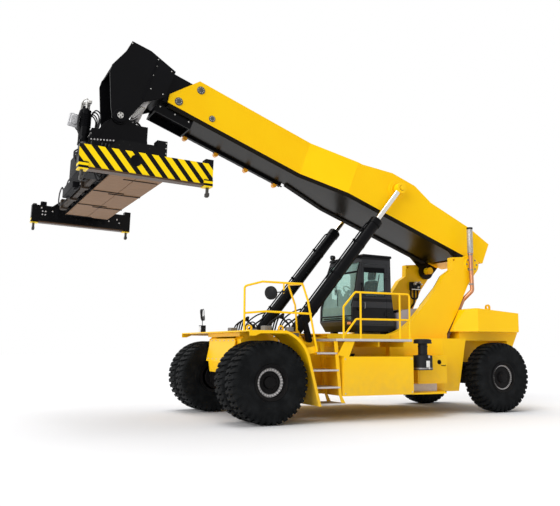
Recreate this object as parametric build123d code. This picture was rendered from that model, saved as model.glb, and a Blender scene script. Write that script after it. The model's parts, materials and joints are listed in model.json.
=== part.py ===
from build123d import *
from math import cos, hypot, radians, sin
import os

# Reach stacker, empty, parked with its boom raised. Millimetres and degrees.
# x runs forward from the drive axle, y to the machine's left, z up from the ground.
# Boom pieces are drawn lying level: s along the boom from its pivot, y across, n upwards.
# The yoke is drawn about the head pin, and the pieces that slew below it about the slewing axis.
# save() moves the origin to the middle of the machine's plan, on the ground.

# ------------------------------------------------------------------ clearances
SEAT_GAP = 0.3         # a curved piece in its seat, a shaft in its bore, a slider on its pad
RUNNING_GAP = 12       # pieces that pass each other

# ------------------------------------------------------------------ running gear
WHEELBASE = 6185
TYRE_RADIUS = 807.5
TYRE_WIDTH = 498
BEAD_WIDTH = 438
TREAD_WIDTH = 392
RIM_RADIUS = 317.5
RIM_FLANGE_RADIUS = 352
RIM_WALL = 22
TWIN_OUTER_Y = 1826
TWIN_INNER_Y = 1260
HUB_FACE_Y = 1964
HUB_RADIUS = 284
SPINDLE_RADIUS = 150
STEERED_Y = 1400
KINGPIN_Y = 1180
KINGPIN_RADIUS = 45
KNUCKLE_RADIUS = 95
KNUCKLE_HEIGHT = 170
STUB_RADIUS = 70
FORK_EAR = 62
AXLE_TUBE_RADIUS = 205
AXLE_PAD = 330         # from an axle's middle up to the chassis

# ------------------------------------------------------------------ boom
PIVOT_X = -5850
PIVOT_Z = 3505
PIVOT_S = 135          # the pivot's place in the boom's drawing
PIVOT_N = -67
PIVOT_BOSS = 235
PIVOT_PIN_RADIUS = 90
REST_ANGLE = 20.75
BOOM_WALL = 22
BOOM_HALF = 450        # half width of the slim front part
BOOM_REAR_HALF = 800   # half width between the boom's support plates
FLARE_FRONT_S = 4950
FLARE_REAR_S = 3800
BOOM_UNDER_N = 75
BOOM_EDGE_N = 150
INNER_HALF = 400
INNER_LOW_N = 150
INNER_HIGH_N = 825
INNER_REAR_S = 420
INNER_WALL = 20
HEAD_PIN_S = 9090
HEAD_PIN_N = -652
HEAD_PIN_RADIUS = 80
HEAD_HALF = 530
HEAD_PLATE = 30
LUG_REACH = 215

# ------------------------------------------------------------------ lift cylinders
FOOT_X = -1000
FOOT_Z = 1750
FOOT_SEAT_Z = 1560
CYLINDER_Y = 950
BARREL_RADIUS = 132
BARREL_BORE = 108
BARREL_LENGTH = 3420
ROD_RADIUS = 66
ROD_LENGTH = 3180
EYE_S = 2619
EYE_N = 821
EYE_RADIUS = 125
EYE_WIDTH = 150
FOOT_PIN_RADIUS = 60

# ------------------------------------------------------------------ boom support and hull
PLATE_IN_Y = 850
PLATE_OUT_Y = 1020
HULL_Y = 1300
HULL_NARROW_Y = 1080
HULL_FLARE_FRONT_X = -3380
HULL_FLARE_REAR_X = -4700
HULL_LOW_Z = 500
HULL_HIGH_Z = 1700
RAIL_IN_Y = 545
RAIL_OUT_Y = 940
SPINE_HALF = 420
FRAME_FRONT_X = 180
DECK_Z = 1806
DECK_FRONT_X = 475
DECK_REAR_X = -1050
MIDDLE_DECK_Z = 1780
MIDDLE_DECK_HALF = 1120
DECK_HALF = 2070
DECK_PLATE = 24
WELL_IN_Y = 760        # the deck's openings round the lift cylinders' feet
WELL_OUT_Y = 1130
WELL_FRONT_X = -640
WELL_REAR_X = -1760
HOOD_FRONT_X = -3850

# ------------------------------------------------------------------ counterweight
WEIGHT_REAR_X = -7230
WEIGHT_TOP_Z = 2420
WEIGHT_REAR_TOP_Z = 2300
WEIGHT_EDGE_Z = 1870
WEIGHT_LOW_Z = 1660
WEIGHT_SKIRT_Z = 1500
WEIGHT_HALF = 1450
WEIGHT_NARROW = 1060
LIFT_EYE_X = -6530
LIFT_EYE_Y = 800
LIFT_EYE_Z = 2490
LIFT_EYE_RADIUS = 75
LIFT_EYE_BORE = 38
LIFT_EYE_WIDTH = 40
PIPE_RADIUS = 50       # the exhaust pipe behind the left support plate
PIPE_Y = 930
TOW_X = -7160
TOW_LOW_Z = 1800
TOW_BORE = 26

# ------------------------------------------------------------------ walkways, boxes, ladders
WALK_Z = 1660
WALK_PLATE = 50
WALK_OUT_Y = 2020
WALK_FRONT_X = -1440
WALK_REAR_X = -3310
BOX_FRONT_X = -1630
BOX_REAR_X = -3350
BOX_LOW_Z = 510
BOX_HIGH_Z = 1300
BOX_OUT_Y = 2000
TUBE_RADIUS = 21
HOSE_RADIUS = 22
RAIL_PLATE_Y = 1990     # the plate behind a fender that holds the front rail's rear leg
MIRROR_DROP_X = -320
MIRROR_DROP_Y = 1906
MIRROR_RADIUS = 134
LAMP_X = 0              # the right mirror's rod and the lamp at its foot
LAMP_Y = -1950

# ------------------------------------------------------------------ cab
CAB_FRONT_LOW_X = -2610
CAB_FRONT_HIGH_X = -2910
CAB_REAR_X = -3780
CAB_REAR_HIGH_X = -3660
CAB_HALF = 750
CAB_LOW_Z = 1850
CAB_FRONT_Z = 3560
CAB_REAR_Z = 3545
CAB_WALL = 50
ROOF = 60
GLASS = 8
GLASS_IN = 21          # from the wall's outer face to the glass
PILLAR = 62            # width of the posts beside the windscreen
DOOR_FRONT_X = -2870
DOOR_REAR_X = -3550
DOOR_LOW_Z = 2010
DOOR_HIGH_Z = 3400
DOOR_GAP = 6
DOOR_POST = 48         # width of the door frame's uprights
SILL_Z = 2640
LINTEL_Z = 3325
SEAT_Y = 150
HINGE_OUT = 20         # the door's hinge axis, outside the cab's side
HINGE_PIN = 9
HINGE_BARREL = 17
HINGE_EAR = 14
HINGE_HEIGHTS = (2250, 3130)

# ------------------------------------------------------------------ spreader
TRIM = 1.88            # how far the spreader's front hangs above its rear, in degrees
REST_SLEW = 0.85       # how far the spreader rests turned to the left, in degrees
REST_SHIFT = -420      # how far it rests shifted along its length
SLEW_BACK = 90         # the slewing axis behind the head pin
END_X = 1200           # half length of an end beam
END_IN_Y = 2826
END_OUT_Y = 3018
CORNER_X = 1129.5      # half the container's corner spacing across
CORNER_Y = 2926.5      # half the corner spacing along a short container
FRAME_HALF_X = 500
FRAME_HALF_Y = 2280
FRAME_LOW = -1560      # heights below are measured from the head pin
FRAME_HIGH = -1260
FRAME_FLOOR = 60
END_LOW = -1730
END_HIGH = -1295
TWISTLOCK_TIP = -1910
CARRIAGE_LOW = -1000
CARRIAGE_HIGH = -740
RAIL_TOP = -1142       # top of the rails that the carriage slides on
RING_HIGH = -560
RING_RADIUS = 620
ARM_WIDTH = 190
ARM_HEIGHT = 190
ARM_LANES = (-375, -130, 130, 375)
LOCK_RADIUS = 29


# ------------------------------------------------------------------ shapes used by every piece
def block(x_low, x_high, y_low, y_high, z_low, z_high):
    centre = Pos((x_low + x_high) / 2, (y_low + y_high) / 2, (z_low + z_high) / 2)
    return centre * Box(x_high - x_low, y_high - y_low, z_high - z_low)


def side_slab(face, y_low, y_high):
    """A face drawn as (x, z), carried across from y_low to y_high."""
    return extrude(Plane.XZ.offset(-y_high) * face, amount=y_high - y_low, dir=(0, -1, 0))


def side_prism(outline, y_low, y_high, inset=0):
    """An outline of (x, z) corners, moved in by inset and carried across from y_low to y_high."""
    face = Polygon(*outline, align=None)
    if inset:
        face = offset(face, amount=-inset, kind=Kind.INTERSECTION)
    return side_slab(face, y_low, y_high)


def plan_prism(outline, z_low, z_high):
    """An outline of (x, y) corners, carried up from z_low to z_high."""
    face = Pos(0, 0, z_low) * Polygon(*outline, align=None)
    return extrude(face, amount=z_high - z_low, dir=(0, 0, 1))


def cross_prism(outline, x_low, x_high):
    """An outline of (y, z) corners, carried forward from x_low to x_high."""
    face = Plane.YZ.offset(x_low) * Polygon(*outline, align=None)
    return extrude(face, amount=x_high - x_low, dir=(1, 0, 0))


def bar(start, end, radius):
    """A round bar from start to end."""
    run = Vector(*end) - Vector(*start)
    lie = Plane(origin=start, z_dir=run)
    return lie * Cylinder(radius, run.length, align=(Align.CENTER, Align.CENTER, Align.MIN))


def across(x, z, radius, y_low, y_high):
    """A round pin or drum whose axis runs across the machine."""
    return bar((x, y_low, z), (x, y_high, z), radius)


def spun(profile):
    """A closed profile of (y, radius) corners, turned about the y axis."""
    return revolve(Plane.YZ * Polygon(*profile, align=None), axis=Axis.Y)


def tube_run(points, radius, bend):
    """A tube along straight runs with bends of one radius."""
    path = FilletPolyline(*points, radius=bend)
    return sweep((path ^ 0) * Circle(radius), path=path)


def other_side(piece):
    return mirror(piece, about=Plane.XZ)


def both_sides(piece):
    return [piece, other_side(piece)]


def side_pair(side, near, far):
    """The lower and upper y of a range that runs from near to far on one side of the machine."""
    return sorted((side * near, side * far))


def on_boom(piece):
    """Takes a piece drawn along a level boom to the boom's resting place."""
    return Pos(PIVOT_X, 0, PIVOT_Z) * Rot(0, -REST_ANGLE, 0) * Pos(-PIVOT_S, 0, -PIVOT_N) * piece


def boom_point(s, n):
    """Where a point of the boom rests, as (x, z)."""
    c = cos(radians(REST_ANGLE))
    k = sin(radians(REST_ANGLE))
    ahead = s - PIVOT_S
    above = n - PIVOT_N
    return PIVOT_X + ahead * c - above * k, PIVOT_Z + ahead * k + above * c


HEAD_X, HEAD_Z = boom_point(HEAD_PIN_S, HEAD_PIN_N)
EYE_X, EYE_Z = boom_point(EYE_S, EYE_N)


def at_head(piece):
    """Takes a piece drawn about the head pin to its resting place."""
    return Pos(HEAD_X, 0, HEAD_Z) * Rot(0, -TRIM, 0) * piece


def slewed(piece, shift=0):
    """Takes a piece drawn about the slewing axis to its resting place, shifted along the spreader."""
    return at_head(Pos(-SLEW_BACK, 0, 0) * Rot(0, 0, REST_SLEW) * Pos(0, shift, 0) * piece)


# ------------------------------------------------------------------ wheels and axles
def tyre(centre_y):
    half, bead, tread = TYRE_WIDTH / 2, BEAD_WIDTH / 2, TREAD_WIDTH / 2
    bore = RIM_RADIUS + SEAT_GAP
    shoulder = TYRE_RADIUS - 11
    flank = TYRE_RADIUS - 75
    middle = (RIM_FLANGE_RADIUS + flank) / 2
    outline = Polyline((-bead, RIM_FLANGE_RADIUS), (-bead, bore), (bead, bore), (bead, RIM_FLANGE_RADIUS))
    outline += ThreePointArc((bead, RIM_FLANGE_RADIUS), (half, middle), (half - 14, flank))
    outline += Line((half - 14, flank), (tread, shoulder))
    outline += ThreePointArc((tread, shoulder), (0, TYRE_RADIUS), (-tread, shoulder))
    outline += Line((-tread, shoulder), (14 - half, flank))
    outline += ThreePointArc((14 - half, flank), (-half, middle), (-bead, RIM_FLANGE_RADIUS))
    return Pos(0, centre_y, 0) * revolve(Plane.YZ * make_face(outline), axis=Axis.Y)


def rim_shell(centre_y):
    """A rim's round wall with a flange at each edge of its tyre."""
    edge = BEAD_WIDTH / 2 + SEAT_GAP
    lip = edge + 16
    wall = RIM_RADIUS - RIM_WALL
    corners = [(-lip, wall), (lip, wall), (lip, RIM_FLANGE_RADIUS), (edge, RIM_FLANGE_RADIUS)]
    corners += [(edge, RIM_RADIUS), (-edge, RIM_RADIUS), (-edge, RIM_FLANGE_RADIUS)]
    corners += [(-lip, RIM_FLANGE_RADIUS)]
    return Pos(0, centre_y, 0) * spun(corners)


def twin_rims():
    """Both rims of a drive wheel, their spacer and the hub drum with its end cap."""
    wall = RIM_RADIUS - RIM_WALL
    bore = SPINDLE_RADIUS + SEAT_GAP
    spacer = spun([(TWIN_INNER_Y, wall), (TWIN_OUTER_Y, wall), (TWIN_OUTER_Y, RIM_RADIUS),
                   (TWIN_INNER_Y, RIM_RADIUS)])
    drum = [(1120, bore), (1745, bore), (1745, 0), (HUB_FACE_Y - 30, 0), (HUB_FACE_Y - 30, 205)]
    drum += [(HUB_FACE_Y, 222), (HUB_FACE_Y, HUB_RADIUS), (1700, HUB_RADIUS), (1700, wall + 2)]
    drum += [(1560, wall + 2), (1560, 215), (1120, 200)]
    cap = spun([(HUB_FACE_Y - 40, 0), (HUB_FACE_Y + 6, 0), (HUB_FACE_Y - 4, 110), (HUB_FACE_Y - 40, 130)])
    return rim_shell(TWIN_INNER_Y) + rim_shell(TWIN_OUTER_Y) + spacer + spun(drum) + cap


def steered_rim():
    """A steered wheel's rim, its dished disc and the hub on its stub axle."""
    wall = RIM_RADIUS - RIM_WALL
    bore = STUB_RADIUS + SEAT_GAP
    face = STEERED_Y + 175
    hub = [(STEERED_Y + 20, bore), (face - 25, bore), (face - 25, 0), (face + 60, 0), (face + 60, 100)]
    hub += [(face + 45, 125), (face, 140), (face, wall + 2), (face - 30, wall + 2), (face - 30, 145)]
    hub += [(STEERED_Y + 20, 130)]
    return rim_shell(STEERED_Y) + spun(hub)


def knuckle():
    """A steering knuckle: its boss on the kingpin and the stub axle for the hub."""
    boss = Pos(0, KINGPIN_Y, 0) * Cylinder(KNUCKLE_RADIUS, KNUCKLE_HEIGHT)
    stub = bar((0, KINGPIN_Y, 0), (0, STEERED_Y + 175 - 25 - SEAT_GAP, 0), STUB_RADIUS)
    seat = bar((0, KINGPIN_Y + 60, 0), (0, STEERED_Y - 10, 0), 82)
    bore = Pos(0, KINGPIN_Y, 0) * Cylinder(KINGPIN_RADIUS + SEAT_GAP, KNUCKLE_HEIGHT + 40)
    return boss + stub + seat - bore


def steer_axle():
    """The steered axle's beam with a fork and a kingpin at each end."""
    beam = cross_prism([(-760, -190), (760, -190), (900, -120), (900, 120), (620, 230), (-620, 230),
                        (-900, 120), (-900, -120)], -150, 150)
    saddle = block(-260, 260, -300, 300, 150, AXLE_PAD)
    ear_low = KNUCKLE_HEIGHT / 2 + SEAT_GAP
    half = ear_low + FORK_EAR
    web_end = KINGPIN_Y - KNUCKLE_RADIUS - RUNNING_GAP
    fork = block(-88, 88, 860, web_end, -half, half)
    for low, high in ((-half, -ear_low), (ear_low, half)):
        ear = Pos(0, KINGPIN_Y, (low + high) / 2) * Cylinder(92, high - low)
        fork += ear + block(-88, 88, web_end - 1, KINGPIN_Y, low, high)
    fork += Pos(0, KINGPIN_Y, 0) * Cylinder(KINGPIN_RADIUS, 2 * half + 30)
    return Pos(-WHEELBASE, 0, TYRE_RADIUS) * (beam + saddle + fork + other_side(fork))


def drive_axle():
    """The drive axle's housing, its brake drums and the spindles inside the hubs."""
    end = 1700
    brake = TWIN_INNER_Y - BEAD_WIDTH / 2 - 60
    profile = [(-end, 0), (end, 0), (end, SPINDLE_RADIUS), (brake, SPINDLE_RADIUS), (brake, 262)]
    profile += [(brake - 150, 275), (brake - 150, AXLE_TUBE_RADIUS), (330, AXLE_TUBE_RADIUS), (230, 275)]
    profile += [(-230, 275), (-330, AXLE_TUBE_RADIUS), (150 - brake, AXLE_TUBE_RADIUS), (150 - brake, 275)]
    profile += [(-brake, 262), (-brake, SPINDLE_RADIUS), (-end, SPINDLE_RADIUS)]
    pads = both_sides(block(-150, 150, RAIL_IN_Y + 40, RAIL_OUT_Y - 110, 0, AXLE_PAD))
    housing = spun(profile) + pads[0] + pads[1]
    return Pos(0, 0, TYRE_RADIUS) * housing


# ------------------------------------------------------------------ chassis
def hull_side_y(x):
    """How far out the hull's side stands at x, where it flares towards the rear."""
    share = (HULL_FLARE_FRONT_X - x) / (HULL_FLARE_FRONT_X - HULL_FLARE_REAR_X)
    return HULL_NARROW_Y + (HULL_Y - HULL_NARROW_Y) * min(max(share, 0), 1)


def chassis_frame():
    """Two deep rails, the hull sides that carry the boom's support, cross plates and the rear spine."""
    arch_low = (-5140, HULL_LOW_Z)
    arch_high = (-5380, HULL_HIGH_Z)
    axle_pad = TYRE_RADIUS + AXLE_PAD
    front = FRAME_FRONT_X
    rail = side_prism([(front, axle_pad), (front, 1640), (front - 60, HULL_HIGH_Z), (-660, HULL_HIGH_Z),
                       (-660, FOOT_SEAT_Z), (-1360, FOOT_SEAT_Z), (-1500, HULL_HIGH_Z), arch_high, arch_low,
                       (-900, HULL_LOW_Z), (-620, axle_pad)], RAIL_IN_Y, RAIL_OUT_Y)
    front = HULL_FLARE_FRONT_X
    hull = side_prism([(front, HULL_HIGH_Z), arch_high, arch_low, (front, HULL_LOW_Z)], RAIL_OUT_Y, HULL_Y)
    hull -= plan_prism([(front + 1, HULL_NARROW_Y), (front + 1, HULL_Y + 1), (HULL_FLARE_REAR_X, HULL_Y + 1),
                        (HULL_FLARE_REAR_X, HULL_Y), (front, HULL_NARROW_Y)], 0, 3000)
    frame = rail + hull
    frame += other_side(frame)
    crosses = [(front, front - 50, axle_pad, 1640), (-620, -700, 900, 1500)]
    crosses += [(-3300, -3400, HULL_LOW_Z, 1500), (-5000, -5120, HULL_LOW_Z, HULL_HIGH_Z)]
    for front, rear, low, high in crosses:
        frame += block(rear, front, -RAIL_IN_Y, RAIL_IN_Y, low, high)
    frame += block(-5000, -3400, -RAIL_IN_Y, RAIL_IN_Y, HULL_LOW_Z, HULL_LOW_Z + 60)
    spine_low = axle_pad
    frame += block(-6850, -5100, -SPINE_HALF, SPINE_HALF, spine_low, WEIGHT_LOW_Z)
    gusset = [(-5110, HULL_LOW_Z), (-5110, spine_low), (-5600, spine_low)]
    frame += side_prism(gusset, -SPINE_HALF, SPINE_HALF)
    return frame


def front_apron():
    """The yellow plate across the front, leaning forward as it falls, with its lower plate and two ribs."""
    plate = side_prism([(220, 1660), (320, 1170), (296, 1170), (196, 1660)], -750, 750)
    plate -= cross_prism([(751, 1590), (690, 1661), (751, 1661)], 100, 400)
    plate -= cross_prism([(-751, 1590), (-690, 1661), (-751, 1661)], 100, 400)
    plate += side_prism([(320, 1171), (286, 940), (266, 940), (296, 1171)], -600, 600)
    rib = side_prism([(FRAME_FRONT_X, 1640), (201, 1640), (297, 1171), (FRAME_FRONT_X, 1200)], 600, 640)
    return plate + rib + other_side(rib)


def cylinder_feet():
    """Two lugs and a pin at the foot of a lift cylinder, on a base that laps over the rail's side."""
    eye = EYE_WIDTH / 2 + 6
    lug_width = 45
    out = CYLINDER_Y + eye + lug_width + 30
    base_top = FOOT_SEAT_Z + 40
    feet = block(FOOT_X - 250, FOOT_X + 250, CYLINDER_Y - eye - lug_width - 30, out, FOOT_SEAT_Z, base_top)
    feet += block(FOOT_X - 250, FOOT_X + 250, RAIL_OUT_Y, out, FOOT_SEAT_Z - 240, FOOT_SEAT_Z)
    for low in (CYLINDER_Y - eye - lug_width, CYLINDER_Y + eye):
        lug = side_prism([(FOOT_X - 220, base_top - 1), (FOOT_X + 220, base_top - 1), (FOOT_X + 110, FOOT_Z),
                          (FOOT_X - 110, FOOT_Z)], low, low + lug_width)
        feet += lug + across(FOOT_X, FOOT_Z, 112, low, low + lug_width)
    return feet + across(FOOT_X, FOOT_Z, FOOT_PIN_RADIUS, CYLINDER_Y - eye - 60, CYLINDER_Y + eye + 60)


def boom_support():
    """One tall leaning plate that carries the boom's pivot, with half of the pivot pin."""
    front = Polyline((-5060, HULL_HIGH_Z), (-3440, HULL_HIGH_Z), (-3440, 1790))
    front += ThreePointArc((-3440, 1790), (-3860, 1960), (-4160, 2210))
    rest = Polyline((-4160, 2210), (-4840, 2930), (-5045, 3220), (-5255, 3350), (-5270, 3650),
                    (-5750, 3690), (-6030, 3640), (-6062, 3405), (-5730, 2990), (-5400, 2360),
                    (-5060, 1820), (-5060, HULL_HIGH_Z))
    plate = side_slab(make_face(front + rest), PLATE_IN_Y, PLATE_OUT_Y)
    plate += across(PIVOT_X, PIVOT_Z, PIVOT_BOSS, PLATE_IN_Y, PLATE_OUT_Y)
    plate -= across(-5330, 3590, 30, PLATE_IN_Y - 5, PLATE_OUT_Y + 5)
    return plate + across(PIVOT_X, PIVOT_Z, PIVOT_PIN_RADIUS, BOOM_REAR_HALF - 230, PLATE_OUT_Y + 20)


def mast_hoses():
    """The hose down the left support plate's front edge, and the right plate's valve with its two hoses."""
    y = PLATE_IN_Y - HOSE_RADIUS - SEAT_GAP
    edge = tube_run([(-5520, y, 3440), (-5250, y, 3310), (-5055, y, 3190), (-4850, y, 2900),
                     (-4430, y, 2460)], HOSE_RADIUS, 90)
    wall = SEAT_GAP - PLATE_IN_Y
    valve = block(-5650, -5360, wall, wall + 110, 2990, 3200)
    valve += block(-5600, -5420, wall, wall + 150, 3040, 3150)
    loop = tube_run([(-5400, -y, 2991), (-5390, -y, 2790), (-5610, -y, 2740), (-5620, -y, 2991)],
                    HOSE_RADIUS, 85)
    drop = tube_run([(-5510, -y, 2991), (-5500, -y, 2650), (-5300, -y, 2425)], HOSE_RADIUS, 85)
    return [edge, valve + loop + drop]


def counterweight():
    """A cast block over the steered axle, flared above the wheels and chamfered behind."""
    top = side_prism([(-5160, WEIGHT_EDGE_Z), (-5440, WEIGHT_TOP_Z - 30), (-5600, WEIGHT_TOP_Z),
                      (WEIGHT_REAR_X, WEIGHT_REAR_TOP_Z), (WEIGHT_REAR_X, WEIGHT_EDGE_Z)],
                     -WEIGHT_HALF, WEIGHT_HALF)
    plan = [(-5050, WEIGHT_NARROW), (-5230, WEIGHT_NARROW), (-5640, WEIGHT_HALF), (-6900, WEIGHT_HALF),
            (WEIGHT_REAR_X, WEIGHT_NARROW)]
    plan += [(x, -y) for x, y in reversed(plan)]
    top &= plan_prism(plan, 0, 4000)
    core = side_prism([(-5390, WEIGHT_LOW_Z), (-5390, WEIGHT_EDGE_Z), (WEIGHT_REAR_X, WEIGHT_EDGE_Z),
                       (-7040, WEIGHT_SKIRT_Z), (-6900, WEIGHT_SKIRT_Z), (-6860, WEIGHT_LOW_Z)],
                      -WEIGHT_NARROW, WEIGHT_NARROW)
    weight = top + core
    for y in (-LIFT_EYE_Y, LIFT_EYE_Y):
        low, high = y - LIFT_EYE_WIDTH / 2, y + LIFT_EYE_WIDTH / 2
        rear, front = LIFT_EYE_X - LIFT_EYE_RADIUS, LIFT_EYE_X + LIFT_EYE_RADIUS
        weight += across(LIFT_EYE_X, LIFT_EYE_Z, LIFT_EYE_RADIUS, low, high)
        weight += block(rear, front, low, high, LIFT_EYE_Z - 160, LIFT_EYE_Z)
        weight -= across(LIFT_EYE_X, LIFT_EYE_Z, LIFT_EYE_BORE, low - 5, high + 5)
    weight -= block(WEIGHT_REAR_X - 10, WEIGHT_REAR_X + 130, -110, 110, 1900, 2010)
    channel = PIPE_RADIUS + 15
    trough = [(-5215, 1650), (-5710, 2560), (-5500, 2700), (-5000, 1700)]
    weight -= side_prism(trough, PIPE_Y - channel, PIPE_Y + channel)
    return weight - Pos(TOW_X, 0, TOW_LOW_Z + 400) * Cylinder(TOW_BORE, 800)


# ------------------------------------------------------------------ decks, boxes, ladders, rails
def fender(side):
    """The plate that curves down behind a drive wheel, with a deep lip along its outer edge."""
    shoulder = (-300, DECK_Z)
    knee = (-850, 1200)
    toe = (-1078, 330)
    back = ThreePointArc(shoulder, (-655, 1590), knee) + Line(knee, toe)
    lip = Line((DECK_FRONT_X, DECK_Z), shoulder) + back + Polyline(toe, (-1018, 330), (-795, 1200))
    lip += ThreePointArc((-795, 1200), (-610, 1555), (-320, 1748))
    lip += Polyline((-320, 1748), (240, 1748), (360, 1700), (DECK_FRONT_X, 1700), (DECK_FRONT_X, DECK_Z))
    under = (-300, DECK_Z - DECK_PLATE)
    sheet = back + Polyline(toe, (-1058, 330), (-830, 1200))
    sheet += ThreePointArc((-830, 1200), (-640, 1580), under) + Line(under, shoulder)
    low, high = side_pair(side, DECK_HALF - 14, DECK_HALF)
    inner, outer = side_pair(side, 1140, DECK_HALF - 13)
    return side_slab(make_face(lip), low, high) + side_slab(make_face(sheet), inner, outer)


def front_deck():
    """The deck and its fenders over the drive wheels, open where the lift cylinders stand."""
    top = block(-310, DECK_FRONT_X, -DECK_HALF, DECK_HALF, DECK_Z - DECK_PLATE, DECK_Z)
    half = MIDDLE_DECK_HALF + 40
    top += block(DECK_REAR_X, -300, -half, half, DECK_Z - DECK_PLATE, DECK_Z)
    top += block(-560, FRAME_FRONT_X + 30, -RAIL_OUT_Y, RAIL_OUT_Y, HULL_HIGH_Z, DECK_Z - DECK_PLATE)
    for side in (1, -1):
        top += fender(side)
        low, high = side_pair(side, WELL_IN_Y, WELL_OUT_Y)
        top -= block(WELL_REAR_X, WELL_FRONT_X, low, high, HULL_HIGH_Z, DECK_Z + 10)
        low, high = side_pair(side, RAIL_PLATE_Y - 12, RAIL_PLATE_Y + 12)
        top += side_prism([(-760, 1470), (-1035, 1520), (-1035, 1400), (-800, 1340)], low, high)
    return top


def middle_deck():
    """The raised floor that carries the cab, between the front deck and the boom's support."""
    under = MIDDLE_DECK_Z - DECK_PLATE
    half = PLATE_IN_Y - SEAT_GAP
    floor = block(-3360, DECK_REAR_X, -MIDDLE_DECK_HALF, MIDDLE_DECK_HALF, under, MIDDLE_DECK_Z)
    floor += block(-3360, -1790, -1100, 1100, HULL_HIGH_Z, under + 1)
    floor += block(HOOD_FRONT_X, -3360, -half, half, HULL_HIGH_Z, MIDDLE_DECK_Z)
    for side in (1, -1):
        low, high = side_pair(side, 1100, MIDDLE_DECK_HALF)
        floor += block(-3360, -1400, low, high, WALK_Z + 10, MIDDLE_DECK_Z)
        low, high = side_pair(side, WELL_IN_Y, WELL_OUT_Y)
        floor -= block(WELL_REAR_X, WELL_FRONT_X, low, high, HULL_HIGH_Z - 100, DECK_Z + 10)
    return floor


def walkway():
    """A grating along the side on brackets, with the gusset plate that stands on the tank's front end."""
    under = WALK_Z - WALK_PLATE
    deck = block(WALK_REAR_X, WALK_FRONT_X, MIDDLE_DECK_HALF + SEAT_GAP, WALK_OUT_Y, under, WALK_Z)
    for x in (-1900, -2600, -3250):
        deck += side_prism([(x - 20, 1500), (x + 20, 1500), (x + 20, under + 1), (x - 20, under + 1)],
                           RAIL_OUT_Y, WALK_OUT_Y - 200)
    gusset = [(-1660, under + 1), (-1900, under + 1), (-1850, 1500), (-1760, BOX_HIGH_Z), (-1635, BOX_HIGH_Z),
              (-1500, 1330)]
    return deck + side_prism(gusset, BOX_OUT_Y - 20, BOX_OUT_Y)


def low_step():
    """The step plate behind the side box, seated against the hull's side."""
    front, rear = HULL_FLARE_FRONT_X, HULL_FLARE_REAR_X + 40
    return plan_prism([(front, hull_side_y(front)), (front, 1960), (-4250, 1960), (rear, hull_side_y(rear))],
                      HULL_LOW_Z, HULL_LOW_Z + 30)


def side_box():
    """A tank along the side under the walkway, with its mounting to the rail."""
    tank = block(BOX_REAR_X, BOX_FRONT_X, 1100, BOX_OUT_Y, BOX_LOW_Z, BOX_HIGH_Z)
    mount = block(BOX_REAR_X + 100, BOX_FRONT_X - 100, RAIL_OUT_Y, 1101, BOX_LOW_Z + 200, BOX_HIGH_Z - 100)
    return tank + mount


def rear_box():
    """The closed box on the hull's side behind the tank."""
    front, rear = -3740, -4540
    return plan_prism([(front, hull_side_y(front)), (front, 1630), (rear, 1630), (rear, hull_side_y(rear))],
                      700, 1310)


def ladder():
    """Two sloped stringers under the walkway, with four treads behind the fender."""
    top = WALK_Z - WALK_PLATE
    stringer = [(-1520, top), (-1440, top), (-1550, 540), (-1615, 350), (-1705, 350), (-1625, 500)]
    stringer.append((-1608, 540))
    whole = side_prism(stringer, 1930, 1950) + side_prism(stringer, 1340, 1360)
    treads = [(370, -1085, -1690), (700, -1004, -1575), (1040, -915, -1545), (1380, -1044, -1510)]
    for z, front, back in treads:
        whole += block(back, front, 1340, 1950, z - 30, z)
    return whole


def front_rail():
    """The guard rail along the deck's side, its inner leg on the deck and the drop tube for the mirror."""
    leg_y = RAIL_PLATE_Y + 12 + TUBE_RADIUS + SEAT_GAP
    rail = tube_run([(455, 1750, DECK_Z), (455, 1750, 2665), (95, 1800, 2765), (-690, 2000, 2735),
                     (-800, leg_y, 2400), (-1005, leg_y, 1400)], TUBE_RADIUS, 60)
    rail += tube_run([(455, 1750, 2140), (40, 1810, 2180), (-880, leg_y, 2145)], TUBE_RADIUS, 60)
    inner_y = WELL_OUT_Y + 8
    rail += tube_run([(-690, 2000, 2735), (-800, inner_y, 2790), (-965, inner_y, 2360),
                      (-1005, inner_y, 1900), (-1005, inner_y, DECK_Z)], TUBE_RADIUS, 60)
    rail += bar((MIRROR_DROP_X, MIRROR_DROP_Y, 2540), (MIRROR_DROP_X, MIRROR_DROP_Y, 2750), TUBE_RADIUS - 5)
    return rail


def walk_rail():
    """The guard rail along the walkway's edge, with its bent front post and sloped knee rail."""
    y = WALK_OUT_Y - 30
    path = [(-1640, y, WALK_Z), (-1640, y, 2310), (-1920, y, 2620), (-3280, y, 2620), (-3280, y, WALK_Z)]
    rail = tube_run(path, TUBE_RADIUS, 60)
    for x in (-2050, -3030):
        rail += bar((x, y, WALK_Z), (x, y, 2620), TUBE_RADIUS)
    return rail + tube_run([(-1635, y, 1700), (-1940, y, 2065), (-3280, y, 2070)], TUBE_RADIUS, 60)


# ------------------------------------------------------------------ cab
CAB_SIDE = [(CAB_FRONT_LOW_X, 2070), (CAB_FRONT_LOW_X - 10, 2420), (-2700, 2700), (-2800, 3250),
            (CAB_FRONT_HIGH_X, CAB_FRONT_Z), (CAB_REAR_HIGH_X, CAB_REAR_Z), (-3670, 2780), (-3750, 2200),
            (CAB_REAR_X, CAB_LOW_Z), (CAB_FRONT_LOW_X - 150, CAB_LOW_Z)]


def windscreen_zone():
    """The space that the windscreen's opening takes from the cab's front."""
    return block(-2960, -2500, PILLAR - CAB_HALF, CAB_HALF - PILLAR, 2110, 3440)


def side_pane(y):
    """A pane in a side wall's window opening."""
    rear, front = DOOR_REAR_X + DOOR_POST, DOOR_FRONT_X - DOOR_POST
    return block(rear, front, y - GLASS / 2, y + GLASS / 2, SILL_Z, LINTEL_Z)


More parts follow.
